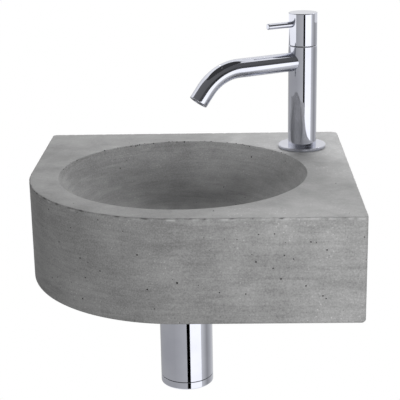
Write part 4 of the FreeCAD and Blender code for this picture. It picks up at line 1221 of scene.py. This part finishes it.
    def cutters(self) -> list[Mesh]:
        """Builds what is cut from the skin: the tap's hole and pocket, and the two wall bores.

        Returns:
            The cutters' meshes.
        """
        top, foot = self.high.z, self.low.z
        ceiling = top - self.tap_slab
        hole = stacked(Drum(self.tap_hole, top + self.overrun, ceiling),
                       Drum(self.pocket_radius, ceiling, foot - self.overrun, self.pocket_ease))
        place = Matrix.Translation(Vector((self.tap.x, self.tap.y, 0.0)) * MM)
        tools = [lathe(hole, self.hole_facets, "tap_hole_and_pocket", place)]
        bore = stacked(Drum(self.bore_radius, -self.overrun, self.bore_depth))
        turn = Matrix.Rotation(math.radians(90.0), 4, "X")
        for name, side in (("left_wall_bore", -1), ("right_wall_bore", 1)):
            spot = Matrix.Translation(Vector((side * self.bore_spread, self.high.y, 0.0)) * MM)
            tools.append(lathe(bore, self.bore_facets, name, spot @ turn))
        return tools

    def marks(self) -> bpy.types.Object:
        """Sets out the air holes of the front and the chips of the bowl's back rim.

        Returns:
            An object of loose points, each with its width.
        """
        chance = random.Random(self.chip_seed)
        places = [(Vector((x, self.low.y, z)), width) for x, z, width in self.front_holes]
        centre = Vector((self.low.x + self.corner_radius, self.low.y + self.corner_radius))
        for x, z, width in self.corner_holes:
            y = centre.y - math.sqrt(self.corner_radius ** 2 - (x - centre.x) ** 2)
            places.append((Vector((x, y, z)), width))
        start, thinning, end = self.chipped
        angle = start
        while angle < end:
            angle += chance.uniform(*(self.chip_step if angle < thinning else self.thin_step))
            out = Vector((math.cos(math.radians(angle)), math.sin(math.radians(angle))))
            spot = self.bowl + out * (self.bowl_radius + chance.uniform(*self.chip_out))
            places.append((Vector((spot.x, spot.y, self.high.z - chance.uniform(*self.chip_drop))),
                           chance.uniform(*self.chip_width)))
        mesh = bpy.data.meshes.new("concrete_marks")
        mesh.from_pydata([place * MM for place, _ in places], [], [])
        width = mesh.attributes.new("width", "FLOAT", "POINT")
        for index, (_, wide) in enumerate(places):
            width.data[index].value = wide * MM
        return carried(mesh)

    def build(self) -> None:
        """Casts the body, drills it, opens its air holes and dresses it."""
        body = cut(self.shell(), self.cutters())
        marks = self.marks()
        smallest, largest = self.air_sizes
        body = grown(body, air_hole_tree(), {
            "Spacing": self.air_spacing * MM, "Density": self.air_density, "Level Share": self.air_level_share,
            "Smallest": smallest * MM, "Largest": largest * MM, "Seed": self.air_seed, "Marks": marks,
            "Material": FINISHES[Slot.CONCRETE].material()})
        bpy.data.objects.remove(marks)
        dress(body, Slot.CONCRETE, Body.BASIN, "basin_body")


@dataclass
class PillarTap:
    """The tap's outer pieces and inlet tail. Sizes are in mm and angles in degrees.

    Heights are above the basin's rim, and the lever's is above the handle's foot.
    """

    # Which way the spout points, anticlockwise from the basin's right.
    swing: float = 210.0
    facets: int = 160
    # The gap between a piece and the seat that it goes in.
    play: float = 0.05
    flange_radius: float = 24.4
    flange_height: float = 3.2
    flange_rim: float = 2.4
    flange_gap: float = 0.1
    # The roundings at the foot and at the head of a piece.
    flange_eases: Pair = (0.2, 0.9)
    column_eases: Pair = (0.15, 0.5)
    handle_eases: Pair = (0.4, 0.8)
    seal_height: float = 1.2
    column_radius: float = 14.55
    column_height: float = 105.9
    socket_foot: float = 3.2
    socket_head: float = 19.5
    socket_radius: float = 12.05
    waterway: float = 5.0
    chamber_radius: float = 9.6
    chamber_foot: float = 77.9
    seat_foot: float = 99.9
    seat_radius: float = 10.528
    spout_height: float = 90.0
    spout_radius: float = 9.45
    spout_bore: float = 7.2
    spout_facets: int = 96
    spout_root: float = 10.878
    spout_overrun: float = 9.0
    spout_run: float = 75.8
    spout_run_steps: int = 6
    spout_bend_radius: float = 48.3
    spout_bend: float = 51.4
    spout_bend_steps: int = 36
    spout_bore_steps: int = 12
    spout_tip_run: float = 13.6
    spout_tip_bore: float = 8.1
    # Rings that keep the tube straight up to its lip: how far before its end they lie.
    spout_tip_guards: Pair = (6.0, 1.2)
    spout_lip: float = 0.5
    spout_lip_steps: int = 5
    spout_chamfer: float = 0.25
    aerator_depth: float = 11.0
    handle_gap: float = 0.6
    handle_height: float = 32.6
    # The handle's hollow: its skirt over the headwork, the shoulder above, and the spindle's hole.
    skirt_radius: float = 13.05
    skirt_depth: float = 5.7
    shoulder_radius: float = 8.8
    shoulder_depth: float = 10.7
    spindle_radius: float = 4.05
    spindle_depth: float = 18.1
    lever_height: float = 21.4
    lever_radius: float = 3.0
    lever_facets: int = 64
    lever_seat: float = 7.5
    lever_spigot: float = 2.45
    lever_root: float = 5.95
    lever_end_gap: float = 0.1
    lever_hole_end: float = 14.0
    lever_length: float = 36.0
    lever_ease: float = 0.7
    screw_hole: float = 2.05
    screw_hole_ends: Pair = (-16.0, -3.0)
    screw_facets: int = 48
    shank_radius: float = 12.0
    shank_facets: int = 72
    inlet_radius: float = 10.478
    inlet_head: float = -56.5
    inlet_ease: float = 0.4
    # The two threads: their pitch and depth, where they start and end, and the gap to the step between them.
    pipe_thread: Pair = (1.814, 0.9)
    pipe_lead: float = 0.6
    fixing_thread: Pair = (1.5, 0.7)
    fixing_head: float = -30.0
    thread_gap: float = 0.4

    def __post_init__(self) -> None:
        """Takes the tap's axis and the rim's height from the frame."""
        spot = middle("tap_base_flange")
        self.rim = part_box("basin_body")[1].z / MM
        turn = Matrix.Rotation(math.radians(self.swing), 4, "Z")
        self.place = Matrix.Translation(Vector((spot.x, spot.y, self.rim)) * MM) @ turn

    def along(self, distance: float, height: float) -> Matrix:
        """Gives a place whose Z axis runs out over the bowl.

        Args:
            distance: How far out from the tap's axis it starts.
            height: How high above the rim.

        Returns:
            The place, in metres.
        """
        spot = Matrix.Translation(Vector((distance, 0.0, height)) * MM)
        return self.place @ spot @ Matrix.Rotation(math.radians(90.0), 4, "Y")

    def flange(self) -> None:
        """Turns the cover ring, whose edge rolls over."""
        inner = self.socket_radius + self.play
        rim = self.flange_radius - self.flange_rim
        foot_ease, head_ease = self.flange_eases
        profile = [Corner(inner, self.seal_height), Corner(rim, self.seal_height), Corner(rim, self.flange_gap),
                   Corner(self.flange_radius, self.flange_gap, foot_ease),
                   Corner(self.flange_radius, self.flange_height, head_ease), Corner(inner, self.flange_height)]
        dress(lathe(profile, self.facets, "flange_ring", self.place), Slot.CHROME, Body.BASIN, "tap_base_flange")

    def column(self) -> None:
        """Turns the column and bores the spout's socket in its side."""
        foot_ease, head_ease = self.column_eases
        profile = [Corner(self.socket_radius, self.socket_foot),
                   Corner(self.column_radius, self.socket_foot, foot_ease),
                   Corner(self.column_radius, self.column_height, head_ease),
                   Corner(self.seat_radius, self.column_height), Corner(self.seat_radius, self.seat_foot),
                   Corner(self.chamber_radius, self.seat_foot), Corner(self.chamber_radius, self.chamber_foot),
                   Corner(self.waterway, self.chamber_foot), Corner(self.waterway, self.socket_head),
                   Corner(self.socket_radius, self.socket_head)]
        socket = stacked(Drum(self.spout_bore, -self.spout_overrun, 0.0),
                         Drum(self.spout_radius + self.play, 0.0, self.spout_overrun))
        body = lathe(profile, self.facets, "tap_pillar", self.place)
        tool = lathe(socket, self.spout_facets, "spout_socket", self.along(self.spout_root, self.spout_height))
        dress(cut(body, [tool]), Slot.CHROME, Body.BASIN, "tap_column")

    def spout_ring(self, distance: float, radius: float) -> list[Vector]:
        """Makes one ring of the spout's tube.

        Args:
            distance: How far along the tube's middle line from its root.
            radius: The ring's radius.

        Returns:
            The ring in the tap's own frame.
        """
        run = self.spout_run - self.spout_root
        bend = math.radians(self.spout_bend)
        arc = self.spout_bend_radius * bend
        turn = min(max((distance - run) / self.spout_bend_radius, 0.0), bend)
        ahead = Vector((math.cos(turn), 0.0, -math.sin(turn)))
        over = Vector((math.sin(turn), 0.0, math.cos(turn)))
        straight = min(distance, run) + self.spout_root
        centre = Vector((straight + self.spout_bend_radius * math.sin(turn), 0.0,
                         self.spout_height - self.spout_bend_radius * (1 - math.cos(turn))))
        centre += ahead * max(distance - run - arc, 0.0)
        ring = []
        for index in range(self.spout_facets):
            angle = math.tau * index / self.spout_facets
            ring.append(centre + Vector((0.0, radius * math.cos(angle), 0.0)) + over * (radius * math.sin(angle)))
        return ring

    def spout(self) -> None:
        """Draws the bent tube with its rounded mouth and the aerator's seat."""
        run = self.spout_run - self.spout_root
        arc = self.spout_bend_radius * math.radians(self.spout_bend)
        end = run + arc + self.spout_tip_run
        outer = [run * step / self.spout_run_steps for step in range(self.spout_run_steps)]
        outer += [run + arc * step / self.spout_bend_steps for step in range(self.spout_bend_steps + 1)]
        outer += [end - guard for guard in self.spout_tip_guards]
        sections = [(distance, self.spout_radius) for distance in outer]
        lip, chamfer = self.spout_lip, self.spout_chamfer
        for angle in quarter(self.spout_lip_steps):
            sections.append((end - lip + lip * math.sin(angle), self.spout_radius - lip + lip * math.cos(angle)))
        sections += [(end, self.spout_tip_bore + chamfer), (end - chamfer, self.spout_tip_bore),
                     (end - self.aerator_depth, self.spout_tip_bore), (end - self.aerator_depth, self.spout_bore)]
        for step in range(self.spout_bore_steps, -1, -1):
            sections.append((run + arc * step / self.spout_bore_steps, self.spout_bore))
        sections.append((0.0, self.spout_bore))
        rings = [self.spout_ring(distance, radius) for distance, radius in sections]
        dress(to_mesh(skin(rings), "bent_spout", self.place), Slot.CHROME, Body.BASIN, "tap_spout")

    def handle(self) -> None:
        """Turns the cap that is the handle, with its lever's seat and its screw's hole."""
        foot = self.column_height + self.handle_gap
        top = foot + self.handle_height
        skirt, shoulder = foot + self.skirt_depth, foot + self.shoulder_depth
        spindle = foot + self.spindle_depth
        foot_ease, head_ease = self.handle_eases
        profile = [Corner(self.skirt_radius, foot), Corner(self.column_radius, foot, foot_ease),
                   Corner(self.column_radius, top, head_ease), Corner(0.0, top), Corner(0.0, spindle),
                   Corner(self.spindle_radius, spindle), Corner(self.spindle_radius, shoulder),
                   Corner(self.shoulder_radius, shoulder), Corner(self.shoulder_radius, skirt),
                   Corner(self.skirt_radius, skirt)]
        body = lathe(profile, self.facets, "turning_cap", self.place)
        seat = stacked(Drum(self.lever_spigot, 0.0, self.lever_seat),
                       Drum(self.lever_radius + self.play, self.lever_seat, self.lever_hole_end))
        hole = stacked(Drum(self.screw_hole, *self.screw_hole_ends))
        lever_place = self.along(self.lever_root - self.lever_end_gap, foot + self.lever_height)
        screw_place = self.along(0.0, middle("handle_screw").z - self.rim)
        tools = [lathe(seat, self.lever_facets, "lever_seat", lever_place),
                 lathe(hole, self.screw_facets, "screw_hole", screw_place)]
        dress(cut(body, tools), Slot.CHROME, Body.HANDLE, "tap_handle")

    def lever(self) -> None:
        """Turns the lever pin, with a rounded tip."""
        profile = stacked(Drum(self.lever_spigot - self.play, 0.0, self.lever_seat),
                          Drum(self.lever_radius, self.lever_seat, self.lever_length, end_ease=self.lever_ease))
        place = self.along(self.lever_root, self.column_height + self.handle_gap + self.lever_height)
        dress(lathe(profile, self.lever_facets, "lever_pin", place), Slot.CHROME, Body.HANDLE, "handle_lever")

    def shank(self) -> None:
        """Turns the inlet tail, with the supply hose's thread at its foot and the nut's thread above."""
        low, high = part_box("tap_shank")
        foot, head = low.z / MM - self.rim, high.z / MM - self.rim
        pipe = Thread(foot + self.pipe_lead, self.inlet_head - self.thread_gap, *self.pipe_thread)
        fixing = Thread(self.inlet_head + self.thread_gap, self.fixing_head, *self.fixing_thread)
        profile = [Corner(self.waterway, foot), Corner(self.inlet_radius, foot, self.inlet_ease)]
        profile += [Corner(self.inlet_radius, height) for height in pipe.heights()]
        profile += [Corner(self.inlet_radius, self.inlet_head), Corner(self.shank_radius, self.inlet_head)]
        profile += [Corner(self.shank_radius, height) for height in fixing.heights()]
        profile += [Corner(self.shank_radius, head), Corner(self.waterway, head)]
        mesh = lathe(profile, self.shank_facets, "threaded_shank", self.place, (pipe, fixing))
        dress(mesh, Slot.BRASS, Body.BASIN, "tap_shank")

    def build(self) -> None:
        """Builds the tap's pieces from the inlet tail upwards."""
        self.shank()
        self.flange()
        self.column()
        self.spout()
        self.handle()
        self.lever()


@dataclass(frozen=True)
class Nut:
    """A union nut, which is narrower inside at one of its ends. Sizes are in mm.

    Args:
        radius: Its outside.
        height: Its height.
        foot_bore: Its inside from its foot up to the step.
        head_bore: Its inside above the step.
        step: How high the step is.
        ease: The rounding of its outer edges.
        mouth_ease: The rounding of its narrower mouth.
    """

    radius: float
    height: float
    foot_bore: float
    head_bore: float
    step: float
    ease: float = 0.7
    mouth_ease: float = 0.3

    def profile(self) -> list[Corner]:
        """Draws the nut.

        Returns:
            The profile's corners, with heights from its foot.
        """
        foot_ease, head_ease = self.mouth_ease, 0.0
        if self.head_bore < self.foot_bore:
            foot_ease, head_ease = head_ease, foot_ease
        return [Corner(self.foot_bore, 0.0, foot_ease), Corner(self.radius, 0.0, self.ease),
                Corner(self.radius, self.height, self.ease), Corner(self.head_bore, self.height, head_ease),
                Corner(self.head_bore, self.step), Corner(self.foot_bore, self.step)]


@dataclass
class DrainFittings:
    """The waste's grid and the trap's nuts and cap. Sizes are in mm, and each height starts at the piece's foot."""

    grid_radius: float = 23.9
    grid_bore: float = 2.6
    grid_thickness: float = 1.6
    grid_edge: float = 0.4
    grid_bore_edge: float = 0.2
    grid_facets: int = 128
    grid_hole: float = 2.5
    grid_rings: tuple[tuple[int, float], ...] = ((6, 9.5), (12, 16.0))
    hole_flare: float = 0.35
    drill_foot: float = -1.0
    drill_overrun: float = 0.5
    inlet_nut: Nut = Nut(25.0, 20.0, foot_bore=17.6, head_bore=21.0, step=2.5)
    outlet_nut: Nut = Nut(24.05, 18.2, foot_bore=20.05, head_bore=16.2, step=15.2)
    facets: int = 180
    flute_radius: float = 1.5
    flute_depth: float = 0.55
    flute_count: int = 30
    flute_end: float = 2.6
    flute_ease: float = 1.0
    cap_radius: float = 26.3
    cap_height: float = 7.6
    # The cap's roundings: at its foot, at its shoulder, and at the top of its plug.
    cap_eases: Triple = (1.2, 0.2, 0.3)
    cap_plug: float = 24.05
    cap_bore: float = 21.55
    cap_floor: float = 3.0
    cap_slot: Triple = (26.0, 4.0, 1.6)
    slot_overrun: float = 1.0

    def __post_init__(self) -> None:
        """Makes the tree that both the grid and the nuts are cut with."""
        self.cuts = ring_cut_tree()

    def stand(self, mesh: Mesh, node: str, axis: Axis = Axis.UP) -> None:
        """Puts a piece whose axis is on Z on the foot of its node, and dresses it.

        Args:
            mesh: The piece.
            node: The node that it stands for.
            axis: The way that its axis runs from its foot.
        """
        low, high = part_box(node)
        foot = (low + high) / 2
        turn = Matrix.Identity(4)
        if axis is Axis.UP:
            foot.z = low.z
        else:
            foot.y = low.y
            turn = Matrix.Rotation(math.radians(-90.0), 4, "X")
        mesh.transform(Matrix.Translation(foot) @ turn)
        dress(mesh, Slot.CHROME, Body.BASIN, node)

    def grid(self) -> None:
        """Turns the waste's grid and drills its two rings of holes, with broken edges."""
        top = self.grid_thickness
        profile = [Corner(self.grid_bore, 0.0), Corner(self.grid_radius, 0.0),
                   Corner(self.grid_radius, top, self.grid_edge), Corner(self.grid_bore, top, self.grid_bore_edge)]
        mesh = lathe(profile, self.grid_facets, "perforated_grid")
        end = top + self.drill_overrun
        drill = [Corner(0.0, self.drill_foot), Corner(self.grid_hole, self.drill_foot),
                 Corner(self.grid_hole, top - self.hole_flare),
                 Corner(self.grid_hole + self.hole_flare + self.drill_overrun, end), Corner(0.0, end)]
        for count, radius in self.grid_rings:
            mesh = ringed(mesh, self.cuts, drill, count, radius)
        self.stand(mesh, "waste_grid")

    def fluted(self, nut: Nut, name: str) -> Mesh:
        """Turns a nut and cuts flutes for the hand in it.

        Args:
            nut: The nut's sizes.
            name: Its name.

        Returns:
            The nut, with its axis on Z.
        """
        flute = stacked(Drum(self.flute_radius, self.flute_end, nut.height - self.flute_end, self.flute_ease,
                             self.flute_ease))
        mesh = lathe(nut.profile(), self.facets, name)
        return ringed(mesh, self.cuts, flute, self.flute_count, nut.radius + self.flute_radius - self.flute_depth)

    def cap(self) -> None:
        """Turns the cleaning cap, with a rounded foot and a slot for a coin."""
        low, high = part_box("trap_cap")
        top = (high.z - low.z) / MM
        foot_ease, shoulder_ease, plug_ease = self.cap_eases
        profile = [Corner(0.0, 0.0), Corner(self.cap_radius, 0.0, foot_ease),
                   Corner(self.cap_radius, self.cap_height, shoulder_ease), Corner(self.cap_plug, self.cap_height),
                   Corner(self.cap_plug, top, plug_ease), Corner(self.cap_bore, top),
                   Corner(self.cap_bore, self.cap_floor), Corner(0.0, self.cap_floor)]
        length, width, depth = self.cap_slot
        slot = block(Vector((-length / 2, -width / 2, -self.slot_overrun)), Vector((length / 2, width / 2, depth)),
                     "coin_slot")
        self.stand(cut(lathe(profile, self.facets, "cleaning_cap"), [slot]), "trap_cap")

    def build(self) -> None:
        """Builds the fittings from the bowl downwards."""
        self.grid()
        self.stand(self.fluted(self.inlet_nut, "fluted_inlet_nut"), "trap_inlet_nut")
        self.stand(self.fluted(self.outlet_nut, "fluted_outlet_nut"), "trap_outlet_nut", Axis.BACK)
        self.cap()


@dataclass(frozen=True)
class Card:
    """A card that stands round the basin for its chrome to mirror.

    Args:
        turn: Its left and right edge in degrees, where 0 is in front of the basin and 90 on its right.
        rise: Its lower and upper edge in degrees, where 0 is level with the rim.
        tones: How bright it is at its left and right edge, where 1 is white.
        reach: How far away it stands, in metres.
    """

    turn: Pair
    rise: Pair
    tones: Pair
    reach: float = 4.0


def room_way(turn: float, rise: float) -> Vector:
    """Finds a way in the room.

    Args:
        turn: Degrees round the basin, where 0 is in front of it and 90 on its right.
        rise: Degrees up from the level of the rim.

    Returns:
        The way there from the basin, of length 1.
    """
    flat, steep = math.radians(turn), math.radians(rise)
    return Vector((math.sin(flat) * math.cos(steep), -math.cos(flat) * math.cos(steep), math.sin(steep)))


def seen_share(tree: Tree) -> Socket:
    """Tells what is seen from what only lights.

    Args:
        tree: The material's or the world's nodes.

    Returns:
        A socket that is 1 for what the camera sees, also in a mirror and through glass, and 0 for light on the object.
    """
    path = add_node(tree, "ShaderNodeLightPath")
    mirrored = add_node(tree, "ShaderNodeMath", {
        0: path.outputs["Is Glossy Ray"], 1: path.outputs["Is Transmission Ray"]}, operation="MAXIMUM")
    return add_node(tree, "ShaderNodeMath", {
        0: path.outputs["Is Camera Ray"], 1: mirrored.outputs[0]}, operation="MAXIMUM").outputs[0]


@dataclass
class Studio:
    """The floor, the light and the camera, in metres. The camera's place and turn follow the photograph."""

    floor_drop: float = 0.855
    floor_half: float = 0.75
    floor_colour: str = "#E4E4E4"
    floor_roughness: float = 0.9
    # How much of what is seen of the floor is white. The rest shows the object's shadow.
    floor_white: float = 0.94
    middle: Triple = (0.0, -0.15, 0.045)
    camera_place: Triple = (0.03681, -1.23407, 0.34924)
    camera_right: Triple = (0.9996303, 0.02070143, -0.01762733)
    camera_up: Triple = (0.01073565, 0.29512226, 0.95539918)
    camera_back: Triple = (0.02498035, -0.95523521, 0.29479091)
    camera_sight: float = 50.0
    lens_mm: float = 104.40
    sensor_mm: float = 36.0
    room_light: float = 0.30
    lamp_reach: float = 1.3
    strip_heights: Pair = (0.005, 0.10)
    strip_radiance: float = 0.72
    card_step: float = 10.0
    # Three rows of cards and a lid stand all round. The last four are nearer, and hide the lamps from the chrome.
    cards: tuple[Card, ...] = (
        Card((-180, -50), (-60, 6), (0.42, 0.42)), Card((-50, 3), (-60, 6), (0.43, 0.53)),
        Card((3, 17.5), (-60, 6), (0.0, 0.0)), Card((17.5, 69), (-60, 6), (1.35, 1.35)),
        Card((69, 101), (-60, 6), (0.72, 0.34)),
        Card((101, 155), (-60, 6), (0.34, 0.70)), Card((155, 180), (-60, 6), (0.70, 0.45)),
        Card((-180, -115), (6, 27), (0.85, 0.80)), Card((-115, -60), (6, 27), (0.80, 0.30)),
        Card((-60, 46), (6, 27), (0.20, 0.03)), Card((46, 70), (6, 27), (0.06, 0.10)),
        Card((70, 110), (6, 27), (0.10, 0.80)), Card((110, 180), (6, 27), (0.80, 0.85)),
        Card((-100, 95), (27, 60), (0.16, 0.11)), Card((-180, 180), (60, 89), (0.05, 0.05)),
        Card((140, 196), (28, 53), (0.90, 0.90), 1.15), Card((104, 152), (-1, 31), (0.80, 0.85), 1.15),
        Card((3, 33), (9, 16), (0.12, 0.06), 1.15), Card((3, 33), (1, 9), (1.35, 1.35), 1.15))

    def floor(self) -> None:
        """Lays the pale floor, which the camera sees as white but for the object's shadow."""
        half, level = self.floor_half, -self.floor_drop
        mesh = bpy.data.meshes.new("floor")
        mesh.from_pydata([(-half, -half, level), (half, -half, level), (half, half, level), (-half, half, level)],
                         [], [(0, 1, 2, 3)])
        material = bpy.data.materials.new("pale_floor")
        material.use_nodes = True
        tree = material.node_tree
        shader = tree.nodes["Principled BSDF"]
        shader.inputs["Base Color"].default_value = linear(self.floor_colour)
        shader.inputs["Roughness"].default_value = self.floor_roughness
        seen = add_node(tree, "ShaderNodeMath", {0: seen_share(tree), 1: self.floor_white}, operation="MULTIPLY")
        white = add_node(tree, "ShaderNodeEmission", {"Strength": 1.0})
        mix = add_node(tree, "ShaderNodeMixShader", {
            0: seen.outputs[0], 1: shader.outputs[0], 2: white.outputs[0]})
        tree.links.new(mix.outputs[0], tree.nodes["Material Output"].inputs["Surface"])
        mesh.materials.append(material)
        carried(mesh)

    def world(self) -> None:
        """Gives the room its white background, which mirrors show too, and an even soft light."""
        world = bpy.data.worlds.new("soft_studio")
        bpy.context.scene.world = world
        world.use_nodes = True
        tree = world.node_tree
        tree.nodes.clear()
        soft = add_node(tree, "ShaderNodeBackground", {"Color": (1.0, 1.0, 1.0, 1.0), "Strength": self.room_light})
        white = add_node(tree, "ShaderNodeBackground", {"Color": (1.0, 1.0, 1.0, 1.0), "Strength": 1.0})
        mix = add_node(tree, "ShaderNodeMixShader", {0: seen_share(tree), 1: soft.outputs[0], 2: white.outputs[0]})
        add_node(tree, "ShaderNodeOutputWorld", {"Surface": mix.outputs[0]})

    def flags(self) -> None:
        """Stands white, grey and black cards round the basin that only its chrome shows, for its dark lines."""
        places, faces, tones = [], [], []
        for card in self.cards:
            steps = math.ceil((card.turn[1] - card.turn[0]) / self.card_step)
            for step in range(steps + 1):
                share = step / steps
                turn = card.turn[0] + share * (card.turn[1] - card.turn[0])
                for rise in card.rise:
                    places.append(Vector(self.middle) + room_way(turn, rise) * card.reach)
                    tones.append(card.tones[0] + share * (card.tones[1] - card.tones[0]))
                if step:
                    last = len(places) - 1
                    faces.append((last - 3, last - 1, last, last - 2))
        mesh = bpy.data.meshes.new("flag_cards")
        mesh.from_pydata(places, [], faces)
        mesh.attributes.new("tone", "FLOAT", "POINT").data.foreach_set("value", tones)
        material = bpy.data.materials.new("flag_card")
        material.use_nodes = True
        tree = material.node_tree
        tone = add_node(tree, "ShaderNodeAttribute", attribute_name="tone")
        glow = add_node(tree, "ShaderNodeEmission", {"Strength": tone.outputs["Fac"]})
        tree.links.new(glow.outputs[0], tree.nodes["Material Output"].inputs["Surface"])
        mesh.materials.append(material)
        cards = carried(mesh)
        cards.visible_camera = cards.visible_diffuse = cards.visible_shadow = cards.visible_transmission = False

    def lamp(self, name: str, turn: float, rise: float, size: Pair, radiance: float) -> None:
        """Hangs a soft box that faces the basin.

        Args:
            name: The lamp's name.
            turn: Where it hangs round the basin, in degrees, as for a card.
            rise: How high it hangs, in degrees, as for a card.
            size: Its width and height.
            radiance: How bright its face is, where 1 is white.
        """
        away = room_way(turn, rise)
        self.soft_box(name, Vector(self.middle) + away * self.lamp_reach, -away, size, radiance)

    def soft_box(self, name: str, place: Vector, facing: Vector, size: Pair, radiance: float) -> None:
        """Makes a soft box.

        Args:
            name: The lamp's name.
            place: Where its middle is.
            facing: The way that it shines.
            size: Its width and height.
            radiance: How bright its face is, where 1 is white.
        """
        data = bpy.data.lights.new(name, "AREA")
        data.shape = "RECTANGLE"
        data.size, data.size_y = size
        data.energy = radiance * math.pi * size[0] * size[1]
        lamp = bpy.data.objects.new(name, data)
        bpy.context.scene.collection.objects.link(lamp)
        lamp.matrix_world = Matrix.Translation(place) @ facing.to_track_quat("-Z", "Y").to_matrix().to_4x4()

    def panel(self, name: str, start: Pair, end: Pair) -> None:
        """Stands a low upright strip of light between two places in plan, facing left of the way between them.

        Args:
            name: The lamp's name.
            start: One end in plan.
            end: The other end in plan.
        """
        first, last = Vector((*start, 0.0)), Vector((*end, 0.0))
        way = last - first
        low, high = self.strip_heights
        place = (first + last) / 2 + Vector((0.0, 0.0, (low + high) / 2))
        self.soft_box(name, place, Vector((-way.y, way.x, 0.0)), (way.length, high - low), self.strip_radiance)

    def lamps(self) -> None:
        """Hangs the key right of the camera, a box behind for the top, and low strips for the handle."""
        self.lamp("key_box", turn=18.0, rise=8.5, size=(0.567, 0.256), radiance=14.4)
        self.lamp("rear_box", turn=168.0, rise=40.0, size=(1.0, 0.40), radiance=11.0)
        self.panel("left_strip", start=(-0.62, 0.75), end=(-0.62, -0.50))
        self.panel("back_strip", start=(0.45, 0.75), end=(-0.62, 0.75))

    def camera(self) -> None:
        """Puts the camera where the photograph was taken from."""
        data = bpy.data.cameras.new("camera")
        data.lens = self.lens_mm
        data.sensor_width = self.sensor_mm
        data.clip_end = self.camera_sight
        camera = bpy.data.objects.new("camera", data)
        bpy.context.scene.collection.objects.link(camera)
        axes = Matrix((self.camera_right, self.camera_up, self.camera_back)).transposed()
        camera.matrix_world = Matrix.Translation(self.camera_place) @ axes.to_4x4()
        bpy.context.scene.camera = camera

    def build(self) -> None:
        """Sets up the studio."""
        self.floor()
        self.world()
        self.flags()
        self.lamps()
        self.camera()
        bpy.context.scene.view_settings.view_transform = "Standard"


def dress_nodes() -> None:
    """Gives each node that still shows its slot's finish."""
    for name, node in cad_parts.items():
        if node.hide_render:
            continue
        for holder in node.material_slots:
            slot = Slot(holder.material.name.split(".")[0])
            holder.material = OWN_FINISHES.get(name, FINISHES[slot]).material()
            LOG.info("%s keeps its shape, dressed in %s", name, holder.material.name)


def main() -> None:
    """Builds the basin's pieces, dresses the rest, and sets up the studio."""
    logging.basicConfig(level=logging.INFO, format="%(name)s: %(message)s")
    for assembly in (ConcreteCasting(), PillarTap(), DrainFittings(), Studio()):
        assembly.build()
        LOG.info("%s done", type(assembly).__name__)
    dress_nodes()


if __name__ == "__main__":
    main()
